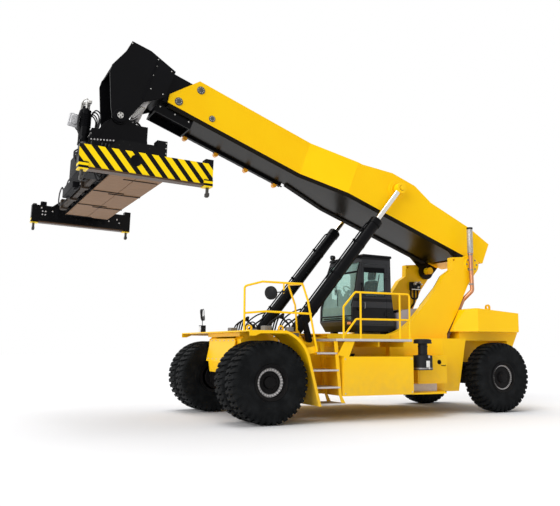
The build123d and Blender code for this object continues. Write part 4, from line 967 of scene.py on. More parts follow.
def tyre_lugs(axes, count, lug_depth):
    """Tread lugs: each is a bar whose cross-section runs from the sidewall over the shoulder towards
    the crown's middle, slanting as it goes; the two shoulders alternate by half a pitch."""
    crown = TYRE_RADIUS
    root = crown - lug_depth - 0.01
    width_radius = 0.79
    stations = np.array([
        (0.2475, 0.640, 0.2400, 0.640, 0.000, 0.016), (0.2500, 0.690, 0.2250, 0.680, 0.000, 0.030),
        (0.2440, 0.742, 0.2050, 0.725, 0.000, 0.036), (0.2260, 0.776, 0.1950, 0.735, 0.001, 0.038),
        (0.2020, 0.7955, 0.1800, 0.745, 0.004, 0.038), (0.1200, crown - 0.003, 0.1200, root, 0.022, 0.036),
        (0.0500, crown, 0.0500, root, 0.040, 0.033), (-0.0120, crown, -0.0120, root, 0.056, 0.026)])
    y_top, r_top, y_low, r_low, shift, half = stations.T
    y = np.stack([y_low, y_top, y_top, y_low], 1)
    r = np.stack([r_low, r_top, r_top, r_low], 1)
    reach = np.stack([-half - 0.007, -half, half, half + 0.007], 1) + shift[:, None]
    shapes = []
    for sign in (1, -1):
        start = 0.0 if sign > 0 else math.pi / count
        angle = sign * reach / width_radius + start
        ring = np.stack([r * np.cos(angle), r * np.sin(angle), sign * y], -1)
        turns = np.linspace(0, math.tau, count, endpoint=False)
        shapes.append(repeated(axes, skin(ring), np.zeros((count, 3)), turns))
    return shapes


class STACKER_OT_tyres(bpy.types.Operator):
    """Makes the lugged tyres in place of the plain ones"""

    bl_idname = "stacker.tyres"
    bl_label = "Tyres"

    def execute(self, context):
        s = context.scene.stacker
        for side, sign in SIDES:
            sets = [("front_tyres_" + side, "front_wheel_" + side, FRONT_LANES),
                    ("rear_tyre_" + side, "rear_wheel_" + side, REAR_LANES)]
            for node, body, lanes in sets:
                shapes = []
                for lane in lanes:
                    axes = wheel_axes(body, sign).shifted(0, 0, lane)
                    shapes += [tyre_casing(axes, s.lug_depth), *tyre_lugs(axes, s.lug_count, s.lug_depth)]
                piece(node.replace("tyre", "lugged_tyre"), body, "tyre", *shapes,
                      replaces=(node,), crease=30)
        return {"FINISHED"}


class STACKER_OT_hubs(bpy.types.Operator):
    """Makes the hubs' bolted rings and caps, the rims' lock rings and the valves"""

    bl_idname = "stacker.hubs"
    bl_label = "Hubs"

    def execute(self, context):
        for side, sign in SIDES:
            front = wheel_axes("front_wheel_" + side, sign)
            body = "front_wheel_" + side
            ring = turned(front, [(1.96, 0.218), (1.97, 0.222), (1.97, 0.284), (1.96, 0.288)], 64,
                          wrap=True)
            piece("hub_ring_" + side, body, "dull_steel", ring)
            piece("hub_bolts_" + side, body, "pale_edge", bolt_circle(front, 0.253, 28, 1.97, 0.019, 0.026),
                  crease=20)
            cap = turned(front, [(1.968, 0.118), (1.982, 0.11), (1.99, 0.06), (1.99, 0.01)], 32)
            piece("hub_cap_" + side, body, "black", cap, bolt_circle(front, 0.155, 12, 1.934, 0.012, 0.016))
            lock = turned(front, [(2.056, 0.322), (2.066, 0.326), (2.07, 0.336), (2.064, 0.348),
                                  (2.056, 0.35)], 72, wrap=True)
            step = turned(front, [(2.02, 0.283), (2.03, 0.285), (2.034, 0.3), (2.02, 0.302)], 72, wrap=True)
            piece("lock_ring_" + side, body, "black", lock, step)
            rear = wheel_axes("rear_wheel_" + side, sign)
            body = "rear_wheel_" + side
            piece("rear_bolts_" + side, body, "pale_edge", bolt_circle(rear, 0.272, 36, 1.575, 0.013, 0.03),
                  crease=20)
            lock = turned(rear, [(1.63, 0.322), (1.64, 0.326), (1.645, 0.336), (1.639, 0.348),
                                 (1.63, 0.35)], 72, wrap=True)
            cap = turned(rear, [(1.63, 0.096), (1.65, 0.09), (1.655, 0.05), (1.655, 0.01)], 32)
            piece("rear_lock_ring_" + side, body, "black", lock, cap,
                  bolt_circle(rear, 0.12, 8, 1.62, 0.01, 0.014))
            valve = tube(rear, [(0.285, 0, 1.5755), (0.287, 0, 1.61), (0.296, 0.01, 1.65)], 0.006, 6)
            piece("rear_valve_" + side, body, "steel", valve)
        return {"FINISHED"}


class STACKER_OT_boom(bpy.types.Operator):
    """Makes the boom's guide pads, eye rings, rollers, clips, hoses, bolts and rear lamp"""

    bl_idname = "stacker.boom"
    bl_label = "Boom fittings"

    def execute(self, context):
        pads, heads, eyes = [], [], []
        for sign in (1, -1):
            for s, n in ((8.105, 0.285), (7.76, 0.765), (7.3, 0.3)):
                axes = BOOM.facing((0, sign, 0), (s, sign * GUIDE_WALL, n))
                size = 0.088 if s > 7.5 else 0.07
                pads.append(turned(axes, [(-0.004, size), (0.012, size), (0.018, size - 0.008),
                                          (0.018, 0.035), (0.024, 0.03), (0.024, 0.004)], 32))
                heads.append(bolt_circle(axes, size * 0.68, 8, 0.018, 0.009, 0.01))
            eye = BOOM.facing((0, sign, 0), (ROD_EYE_ALONG, sign * EYE_WALL, ROD_EYE_UP))
            eyes.append(turned(eye,
                               [(-0.01, 0.235), (0.006, 0.235), (0.014, 0.215), (0.014, 0.16),
                                (0.022, 0.15), (0.022, 0.075), (-0.01, 0.075)], 40, wrap=True))
        piece("guide_pads", "boom", "pad_grey", *pads)
        piece("guide_pad_bolts", "boom", "steel", *heads, crease=20)
        piece("rod_eye_rings", "boom", "boom_yellow", *eyes)

        wheels, brackets, clips = [], [], []
        for s in (5.1, 5.9, 6.7, 7.5):
            drum = BOOM.facing(LEFT, (s, -0.57, -0.012))
            wheels.append(turned(drum, [(0.0, 0.03), (0.002, 0.056), (0.012, 0.056), (0.02, 0.054),
                                        (0.072, 0.054), (0.08, 0.056), (0.09, 0.056), (0.092, 0.03)], 24))
            brackets.append(slab(BOOM, [(s - 0.06, 0.03), (s + 0.06, 0.03), (s + 0.035, -0.035),
                                        (s - 0.035, -0.035)],
                                 -0.585, -0.573, "side", 0.002))
        for s in np.arange(5.2, 7.7, 0.29):
            clips.append(slab(BOOM, rectangle(s, s + 0.07, 0.018, 0.072), -0.556, -0.549, "side", 0.002))
        piece("tray_rollers", "boom", "amber_paint", *wheels, *brackets)
        piece("tray_clips", "boom", "pale_edge", *clips)
        tray_hoses = [tube(BOOM, [(4.9, y, 0.05), (5.6, y, 0.046), (6.6, y, 0.052), (7.6, y, 0.06),
                                  (7.72, y + 0.04, 0.03)], 0.012, 8)
                      for y in (-0.537, -0.512)]
        piece("tray_hoses", "boom", "rubber", *tray_hoses)

        rows = []
        for sign in (1, -1):
            wall = BOOM.facing((0, sign, 0), (0, sign * BRACKET_WALL, 0))
            for s in (7.72, 8.05, 8.4):
                rows.append(repeated(wall, bolt(0.013, 0.012),
                                     [wall.local(BOOM([s, sign * BRACKET_WALL, 0.03]))]))
        piece("bracket_bolts", "boom", "steel", *rows, crease=20)
        rear_cap = turned(BOOM.facing(LEFT, (-0.35, 0.5, 0.02)),
                          [(0.0, 0.03), (0.0, 0.05), (0.1, 0.055), (0.12, 0.04), (0.12, 0.01)], 20)
        stalk = tube(BOOM, [(-0.2, 0.55, 0.16), (-0.28, 0.55, 0.08), (-0.35, 0.55, 0.03)], 0.016, 8)
        piece("rear_lamp", "boom", "satin_black", rear_cap, stalk)
        return {"FINISHED"}


class STACKER_OT_head(bpy.types.Operator):
    """Makes the head's bolts, pin caps, valves, hoses, manifold, chain and pads"""

    bl_idname = "stacker.head"
    bl_label = "Head fittings"

    def execute(self, context):
        bolts, caps, cap_bolts, ribs, dots = [], [], [], [], []
        for sign in (1, -1):
            face = BOOM.facing((0, sign, 0), (0, sign * HEAD_WALL, 0))
            places = [(9.46, 0.905), (8.85, 0.87), (8.83, 0.72), (8.82, 0.5), (8.75, 0.2), (8.5, 0.78),
                      (8.48, 0.22)]
            moves = [face.local(BOOM([s, sign * HEAD_WALL, n])) for s, n in places]
            bolts.append(repeated(face, bolt(0.011, 0.01), moves))
            pin = BOOM.facing((0, sign, 0), (9.09, sign * 0.555, -0.652))
            caps.append(turned(pin, [(-0.02, 0.14), (0.004, 0.14), (0.012, 0.13), (0.012, 0.06),
                                     (0.02, 0.055), (0.02, 0.01)], 32))
            cap_bolts.append(turned(pin, [(0.018, 0.066), (0.026, 0.064), (0.03, 0.05), (0.03, 0.004)], 28))
            dots.append(bolt_circle(pin, 0.042, 4, 0.03, 0.012, 0.012, 0.4))
            ribs.append(slab(BOOM, [(8.83, 0.8), (8.86, 0.8), (8.84, -0.1), (8.8, -0.1)],
                             *sorted((sign * 0.529, sign * 0.541)), "side", 0.0005))
        piece("head_bolts", "telescope", "steel", *bolts, *cap_bolts, crease=20)
        piece("pin_cap_bolts", "telescope", "satin_black", *dots, crease=20)
        piece("head_pin_caps", "telescope", "satin_black", *caps, *ribs)

        valve = [brick(BOOM, (8.74, 8.86), (-0.3, 0.28), (-0.1, 0.1), 0.012, 0.02)]
        valve += [turned(BOOM.facing(DOWN, (8.8, y, -0.1)),
                         [(-0.01, 0.045), (0.09, 0.045), (0.1, 0.035), (0.14, 0.03), (0.14, 0.01)], 20)
                  for y in (-0.22, -0.08, 0.06, 0.2)]
        piece("head_valves", "telescope", "dull_steel", *valve)
        hoses = []
        for index, y in enumerate(np.linspace(-0.34, 0.3, 9)):
            drop = 0.3 + 0.05 * (index % 3)
            hoses.append(tube(BOOM, [(8.6, y, 0.09), (8.72, y, 0.02), (8.78, y * 0.9, -0.16 - drop / 3),
                                     (8.74, y * 0.8, -0.18 - drop),
                                     (8.83, y * 0.7, -0.36 - drop), (8.95, y * 0.6, -0.42 - drop)],
                              settings().hose_radius, 8))
        piece("head_hoses", "telescope", "rubber", *hoses)
        pale = [brick(BOOM, (8.66, 8.8), (0.12, 0.4), (-0.2, 0.06), 0.012, 0.02),
                brick(BOOM, (8.64, 8.74), (-0.12, 0.08), (-0.34, -0.12), 0.012, 0.02),
                brick(BOOM, (8.78, 8.88), (0.2, 0.34), (-0.36, -0.22), 0.01, 0.015)]
        pale += [turned(BOOM.facing(DOWN, (x, y, n)),
                        [(-0.01, 0.03), (0.06, 0.03), (0.065, 0.022), (0.1, 0.02), (0.1, 0.004)], 8)
                 for x, y, n in ((8.7, 0.2, -0.2), (8.75, 0.33, -0.2), (8.68, 0.0, -0.34),
                                 (8.84, 0.27, -0.36), (8.7, -0.08, -0.34))]
        pale += [tube(BOOM, [(8.7, y, -0.26), (8.68 + bend, y + 0.03, -0.38), (8.74 + bend, y + 0.02, -0.5),
                             (8.84, y, -0.6 + bend)], 0.011, 8)
                 for y, bend in ((0.2, 0.0), (0.33, 0.05), (0.0, -0.03), (0.4, 0.08))]
        piece("head_manifold", "telescope", "pale_edge", *pale)
        link = turned(LOCAL.facing(LEFT), [(-0.008, 0.028), (0.008, 0.028), (0.008, 0.012),
                                           (-0.008, 0.012)],
                      10, wrap=True)
        chain = [repeated(BOOM, link, [(8.64 + 0.018 * k, 0.37, 0.02 - 0.045 * k) for k in range(12)])]
        piece("head_chain", "telescope", "steel", *chain)
        pads = [brick(BOOM, (8.44, 8.6), (sign * 0.2 - 0.08, sign * 0.2 + 0.08), (0.82, 0.86), 0.008)
                for sign in (1, -1)]
        piece("head_top_pads", "telescope", "satin_black", *pads)
        return {"FINISHED"}


class STACKER_OT_spreader(bpy.types.Operator):
    """Makes the fittings of the spreader's frame, its rotator and its yoke"""

    bl_idname = "stacker.spreader"
    bl_label = "Spreader fittings"

    def execute(self, context):
        hose = context.scene.stacker.hose_radius
        panels, slots = [], []
        edges = [-2.27, -0.78, 0.74, 2.27]
        for low, high in zip(edges[:-1], edges[1:]):
            for x_low, x_high in ((-0.495, -0.006), (0.006, 0.495)):
                panels.append(brick(SPREADER, (x_low, x_high), (low + 0.012, high - 0.012), (-1.57, -1.558),
                                    0.003))
        for y in edges[1:-1]:
            slots.append(brick(SPREADER, (-0.12, 0.5), (y + 0.05, y + 0.085), (-1.584, -1.568), 0.003))
            slots.append(brick(SPREADER, (-0.5, 0.16), (y - 0.1, y - 0.065), (-1.584, -1.568), 0.003))
        slots.append(brick(SPREADER, (-0.45, 0.2), (2.02, 2.05), (-1.582, -1.568), 0.003))
        slots.append(brick(SPREADER, (-0.1, 0.5), (-2.2, -2.17), (-1.582, -1.568), 0.003))
        piece("under_panels", "spreader", "brown_panel", *panels)
        piece("under_slots", "spreader", "satin_black", *slots)
        fringe = [brick(SPREADER, (0.5, 0.545), (y, y + 0.28), (-1.5, -1.4), 0.006)
                  for y in np.arange(-2.0, 1.9, 0.6)]
        piece("side_cleats", "spreader", "satin_black", *fringe)
        lines = [tube(SPREADER, [(0.53, -2.1, z), (0.535, -1.0, z + 0.01), (0.53, 0.2, z - 0.01),
                                 (0.535, 1.3, z), (0.53, 2.15, z + 0.02)],
                      0.014, 8) for z in (-1.3, -1.335, -1.37)]
        lines += [tube(SPREADER, [(-0.52, -2.1, z), (-0.525, 0.0, z + 0.01), (-0.52, 2.1, z)], 0.014, 8)
                  for z in (-1.3, -1.34)]
        piece("frame_hoses", "spreader", "rubber", *lines)

        rail = [brick(SPREADER, (0.552, 0.66), (-2.12, 2.0), (-1.5, -1.36), 0.012, 0.01)]
        rail += [brick(SPREADER, (0.545, 0.7), (y, y + 0.16), (-1.53, -1.3), 0.01)
                 for y in (-1.9, -0.75, 0.5, 1.6)]
        piece("side_rail", "spreader", "side_brown", *rail)
        valves = [brick(SPREADER, (0.56, 0.74), (y, y + 0.26), (-1.29, -1.13), 0.012, 0.02)
                  for y in (-1.2, 0.05, 1.25)]
        valves += [brick(SPREADER, (0.74, 0.97), (0.75, 1.75), (-1.44, -1.02), 0.015, 0.03),
                   brick(SPREADER, (0.7, 0.85), (-0.7, 0.5), (-1.5, -1.3), 0.012, 0.02),
                   brick(SPREADER, (0.6, 0.9), (1.8, 2.3), (-1.6, -1.38), 0.012, 0.02)]
        piece("side_valves", "spreader", "satin_black", *valves)
        stubs = [repeated(SPREADER, turned(LOCAL, [(-0.02, 0.02), (0.03, 0.02), (0.035, 0.014),
                                                   (0.06, 0.012), (0.06, 0.003)], 6),
                          [(0.6 + 0.08 * (k % 2), y + 0.05 + 0.05 * k, -1.13) for k in range(4)])
                 for y in (-1.2, 0.05, 1.25)]
        piece("side_valve_stubs", "spreader", "steel", *stubs, crease=25)
        swags = [tube(SPREADER, [(0.62, y, -1.1), (0.68, y + 0.1, -1.0), (0.76, y + 0.3, -1.22),
                                 (0.78, y + 0.5, -1.5),
                                 (0.7, y + 0.75, -1.46), (0.6, y + 0.85, -1.3)], hose * 0.85, 8)
                 for y in (-2.0, -1.1, -0.2, 0.7)]
        swags += [tube(SPREADER, [(0.6, 1.9, -1.2), (0.7, 2.1, -1.05), (0.8, 2.3, -1.2),
                                  (0.82, 2.4, -1.5 - d), (0.7, 2.3, -1.66 - d),
                                  (0.58, 2.1, -1.5)], hose * 0.85, 8) for d in (0, 0.08)]
        piece("side_hoses", "spreader", "rubber", *swags)

        chest = [bolt_row(SPREADER.facing(LEFT, (-0.46, 2.18, -1.0)), (-0.08, -0.2, 0),
                          (-0.08, 0.2, 0), 5)]
        piece("chest_bolts", "spreader", "steel", *chest, crease=20)

        ring = SLEW.facing(UP, (0, 0, -0.70))
        collar = turned(ring, [(-0.03, 0.632), (0.01, 0.636), (0.02, 0.62), (0.02, 0.56), (-0.03, 0.56)],
                        72, wrap=True)
        small = repeated(SLEW.facing(LEFT), bolt(0.014, 0.014),
                         [SLEW.facing(LEFT).local(SLEW([0.68 - 0.062 * k, 0.768, -0.655 + 0.006 * k]))
                          for k in range(8)])
        more = bolt_row(SLEW.facing(LEFT, (-0.3, 0.76, -0.95)), (0.2, 0, 0), (-0.2, 0, 0), 6, 0.012)
        piece("ring_collar", "rotator", "black", collar)
        piece("carriage_bolts", "rotator", "pale_edge", small, more,
              bolt_circle(ring, 0.6, 36, 0.02, 0.012, 0.014), crease=20)
        boxes = [brick(SLEW, (0.56, 0.7), (0.1, 0.42), (-0.98, -0.78), 0.012, 0.02),
                 brick(SLEW, (0.2, 0.72), (0.75, 0.768), (-0.84, -0.6), 0.004),
                 brick(SLEW, (0.56, 0.66), (-0.5, -0.2), (-0.95, -0.8), 0.012, 0.02),
                 brick(SLEW, (-0.66, -0.56), (0.2, 0.6), (-0.97, -0.76), 0.012, 0.02)]
        piece("rotator_valves", "rotator", "satin_black", *boxes)
        loops = []
        for k in range(4):
            x, y = 0.52 - 0.07 * k, 0.66 - 0.09 * k
            loops.append(tube(SLEW, [(-0.5, y, -0.79), (-0.6, y, -0.68), (-0.68, y - 0.02, -0.84),
                                     (-0.64, y - 0.05, -1.06), (-0.58, y - 0.06, -1.1)], hose, 8))
            loops.append(tube(SLEW, [(x, 0.74, -0.8), (x + 0.02, 0.82, -0.72), (x + 0.05, 0.86, -0.9),
                                     (x + 0.03, 0.8, -1.02)], hose * 0.8, 8))
        piece("rotator_hoses", "rotator", "rubber", *loops)

        top = []
        for k in range(5):
            y = -0.36 + 0.17 * k
            top.append(tube(YOKE, [(-0.3, y, -0.12), (-0.42, y, -0.02), (-0.56, y, -0.2),
                                   (-0.64, y * 0.9, -0.4), (-0.62, y * 0.9, -0.52)],
                            hose, 8))
        piece("yoke_hoses", "yoke", "rubber", *top)
        block = [brick(YOKE, (-0.56, -0.34), (-0.35, 0.35), (-0.2, -0.09), 0.012, 0.02)]
        block += [turned(YOKE.facing(UP, (-0.45, y, -0.09)),
                         [(0, 0.035), (0.06, 0.035), (0.07, 0.025), (0.07, 0.005)], 16)
                  for y in (-0.25, -0.1, 0.1, 0.25)]
        piece("yoke_valves", "yoke", "dull_steel", *block)
        ends = [bolt_row(Axes(YOKE([0.53, 0, -0.44]), YOKE.turn[1], YOKE.turn[0]), (-0.4, 0.02, 0),
                         (0.4, 0.02, 0), 9, 0.013)]
        web = [slab(YOKE, [(0.38, -0.5), (0.5, -0.5), (0.3, -0.18), (0.2, -0.1)], 0.485, 0.495, "side",
                    0.002)]
        piece("yoke_bolts", "yoke", "steel", *ends, crease=20)
        piece("yoke_webs", "yoke", "black", *web)
        motor = YOKE.facing(UP, (0.6, 0, 0.13))
        cap = turned(motor, [(0, 0.117), (0.015, 0.12), (0.03, 0.11), (0.05, 0.07), (0.11, 0.065),
                             (0.12, 0.05), (0.12, 0.01)], 28)
        fins = turned(YOKE.facing(UP, (0.6, 0, -0.2)),
                      [(0.04 * k + d, r) for k in range(7)
                       for d, r in ((0, 0.118), (0.004, 0.125), (0.022, 0.125), (0.026, 0.118))], 28)
        piece("slew_motor", "yoke", "satin_black", cap, fins)
        aim = Axes(YOKE([0.83, 0.05, -0.1]), YOKE.turn[0] + 0.15 * YOKE.turn[2], -YOKE.turn[1])
        lamp = slab(aim, rectangle(-0.11, 0.11, -0.14, 0.14, 0.03), -0.035, 0.035, "plan", 0.012)
        back = slab(aim, rectangle(-0.07, 0.07, -0.1, 0.1, 0.03), -0.06, -0.03, "plan", 0.01)
        lens = slab(aim, rectangle(-0.1, 0.1, -0.13, 0.13, 0.025), 0.03, 0.042, "plan", 0.004)
        yokes = tube(YOKE, [(0.68, 0.02, -0.3), (0.76, 0.02, -0.27), (0.8, 0.05, -0.2)], 0.014, 8)
        piece("yoke_lamp", "yoke", "pale_steel", lamp, back)
        piece("yoke_lamp_lens", "yoke", "lamp_lens", lens)
        piece("yoke_lamp_arm", "yoke", "satin_black", yokes)
        crown = [turned(YOKE.facing(UP, (x, y, 0.2)),
                        [(-0.02, 0.024), (0.05, 0.024), (0.055, 0.03), (0.09, 0.03), (0.095, 0.016),
                         (0.13, 0.014), (0.13, 0.003)], 8)
                 for x, y in ((0.55, 0.05), (0.66, -0.04), (0.6, 0.1))]
        crown += [brick(YOKE, (0.5, 0.58), (0.02, 0.1), (0.3, 0.37), 0.008, 0.01),
                  brick(YOKE, (0.61, 0.69), (-0.08, 0.0), (0.29, 0.35), 0.008, 0.01),
                  tube(YOKE, [(0.55, 0.05, 0.34), (0.6, 0.08, 0.39), (0.66, 0.06, 0.35), (0.69, 0.0, 0.28),
                              (0.7, 0.0, 0.16)], 0.012, 8)]
        piece("slew_motor_pipes", "yoke", "steel", *crown)
        drops = [tube(YOKE, [(0.5, y, 0.06), (0.42, y * 1.2, 0.12), (0.34, y * 1.4, 0.02),
                             (0.36, y * 1.5, -0.2), (0.42, y * 1.4, -0.42)],
                      hose * 0.8, 8) for y in (-0.16, -0.06, 0.08, 0.2)]
        drops += [tube(YOKE, [(0.68, y, 0.06), (0.72, y + 0.04, 0.1), (0.76, y + 0.1, -0.1),
                              (0.76, y + 0.16, -0.36), (0.68, y + 0.2, -0.52)],
                       hose * 0.8, 8) for y in (0.06, 0.14)]
        piece("slew_motor_hoses", "yoke", "rubber", *drops)
        return {"FINISHED"}


class STACKER_OT_ends(bpy.types.Operator):
    """Makes the end beams' port, straps, bolts, ribs, lamps and hoses"""

    bl_idname = "stacker.ends"
    bl_label = "End beam fittings"

    def execute(self, context):
        for side, sign in SIDES:
            body = "end_" + side
            if side == "left":
                disc = SPREADER.facing((0, sign, 0), (0.229, sign * 3.004, -1.45))
                piece("beam_port", body, "satin_black",
                      turned(disc, [(0, 0.1), (0.012, 0.1), (0.016, 0.09), (0.006, 0.075), (0.004, 0.01)],
                             32))
            else:
                straps = [slab(SPREADER, rectangle(x, x + 0.05, -1.68, -1.3), -3.014, -3.004, "side", 0.002)
                          for x in (-0.9, -0.35, 0.4)]
                piece("beam_straps", body, "dull_steel", *straps)
            inside = SPREADER.facing((0, -sign, 0), (0, sign * BEAM_INSIDE, -1.45))
            spots = [inside.local(SPREADER([x, sign * BEAM_INSIDE, z]))
                     for x, z in ((0.95, -1.44), (0.88, -1.44), (0.95, -1.52), (0.88, -1.52), (0.98, -1.36),
                                  (-0.62, -1.4), (-0.66, -1.5),
                                  (-0.86, -1.44), (-0.92, -1.52), (0.72, -1.42))]
            piece("beam_bolts_" + side, body, "pale_edge", repeated(inside, bolt(0.015, 0.012), spots),
                  crease=20)
            inner = [slab(SPREADER, rectangle(x - 0.04, x + 0.04, -1.6, -1.34), sign * BEAM_INSIDE - 0.006,
                          sign * BEAM_INSIDE + 0.006, "side", 0.002)
                     for x in (-0.52, 0.05, 0.62)]
            piece("beam_ribs_" + side, body, "satin_black", *inner)
            lamp_body = brick(SPREADER, (0.86, 1.0), (sign * 2.92 - 0.05, sign * 2.92 + 0.05),
                              (-1.3, -1.19), 0.01, 0.015)
            piece("beam_lamp_" + side, body, "satin_black", lamp_body)
            if side == "left":
                frontward = [tube(SPREADER, [(1.19, 2.84, z), (1.23, 2.7, z - 0.03), (1.1, 2.3, z - 0.05),
                                             (0.8, 2.05, z - 0.02), (0.56, 1.95, z)], 0.015, 8)
                             for z in (-1.36, -1.405)]
                piece("end_hoses_" + side, body, "rubber", *frontward)
        return {"FINISHED"}


class STACKER_OT_cylinders(bpy.types.Operator):
    """Makes the lift cylinders' pipes, clamps, bolts, pin caps, foot hoses and their blocks"""

    bl_idname = "stacker.cylinders"
    bl_label = "Cylinder fittings"

    def execute(self, context):
        for side, sign in SIDES:
            axes = cylinder_axes(side)
            body = "barrel_" + side
            pipe = tube(axes, [(0.13, 0, 0.42), (0.165, 0, 0.46), (0.168, 0, 0.6), (0.168, 0, 1.4),
                               (0.168, 0, 2.6),
                               (0.168, 0, 3.1), (0.15, 0, 3.2), (0.12, 0, 3.22)], 0.017, 10)
            piece("barrel_pipe_" + side, body, "black", pipe)
            clamps = []
            for level in (0.75, 1.7, 2.65):
                station = axes.shifted(0, 0, level)
                clamps.append(turned(station, [(-0.025, 0.128), (-0.025, 0.138), (0.025, 0.138),
                                               (0.025, 0.128)], 40, wrap=True))
                clamps.append(brick(station, (0.13, 0.19), (-0.03, 0.03), (-0.02, 0.02), 0.004))
            gland = axes.shifted(0, 0, 3.4)
            clamps.append(turned(gland, [(-0.01, 0.12), (0.028, 0.12), (0.034, 0.112), (0.034, 0.07),
                                         (-0.01, 0.07)], 40, wrap=True))
            piece("barrel_clamps_" + side, body, "satin_black", *clamps)
            piece("gland_bolts_" + side, body, "steel", bolt_circle(gland, 0.1, 12, 0.034, 0.009, 0.01),
                  crease=20)
            eye = BOOM.facing((0, sign, 0), (ROD_EYE_ALONG, sign * 1.025, ROD_EYE_UP))
            piece("rod_pin_cap_" + side, "boom", "satin_black",
                  turned(eye, [(-0.03, 0.066), (0.0, 0.066), (0.006, 0.058), (0.006, 0.04), (0.001, 0.036),
                               (0.001, 0.004)], 24))
            y = sign * CYLINDER_LANE
            foot = [tube(MACHINE, [(-0.72, y + 0.02, 1.83), (-0.86, y + 0.03, 1.96), (-1.1, y + 0.03, 2.12),
                                   (-1.27, y + 0.02, 2.28), (-1.3, y, 2.36)], 0.02, 10),
                    tube(MACHINE, [(-0.7, y - 0.1, 1.83), (-0.82, y - 0.1, 2.06), (-1.02, y - 0.08, 2.22),
                                   (-1.22, y - 0.03, 2.3)], 0.017, 10)]
            foot += [tube(MACHINE, [(-0.5 - 0.07 * k, y - 0.2 - 0.03 * k, 1.82),
                                    (-0.54 - 0.07 * k, y - 0.18, 1.98 + 0.04 * k),
                                    (-0.7 - 0.05 * k, y - 0.14, 2.1 + 0.03 * k), (-0.86, y - 0.16, 2.08),
                                    (-1.0, y - 0.17, 1.96),
                                    (-1.04, y - 0.18, 1.82)], 0.018, 8) for k in range(4)]
            foot += [tube(MACHINE, [(-0.62, y + 0.16, 1.82), (-0.68, y + 0.2, 1.98), (-0.82, y + 0.2, 2.06),
                                    (-0.94, y + 0.18, 1.95), (-0.96, y + 0.17, 1.82)], 0.015, 8)]
            piece("foot_hoses_" + side, "chassis", "rubber", *foot)
            pin = MACHINE.facing((0, sign, 0), (-1.0, sign * (CYLINDER_LANE + 0.135), 1.75))
            piece("foot_pin_cap_" + side, "chassis", "dull_steel",
                  turned(pin, [(-0.02, 0.085), (0.0, 0.085), (0.01, 0.075), (0.01, 0.004)], 28),
                  bolt_circle(pin, 0.055, 3, 0.01, 0.012, 0.012))
            block = [brick(MACHINE, (-0.55, -0.36), (y - 0.24, y - 0.06), (1.804, 1.93), 0.01, 0.015),
                     brick(MACHINE, (-0.9, -0.74), (y + 0.14, y + 0.26), (1.804, 1.9), 0.01, 0.015)]
            piece("foot_blocks_" + side, "chassis", "dull_steel", *block)
            fittings = [turned(MACHINE.facing(UP, (-0.72, y + 0.02, 1.80)),
                               [(-0.01, 0.035), (0.03, 0.035), (0.035, 0.028), (0.06, 0.026),
                                (0.06, 0.005)], 6),
                        turned(MACHINE.facing(UP, (-0.7, y - 0.1, 1.80)),
                               [(-0.01, 0.03), (0.03, 0.03), (0.035, 0.024), (0.06, 0.022), (0.06, 0.005)],
                               6)]
            piece("foot_fittings_" + side, "chassis", "steel", *fittings)
        return {"FINISHED"}


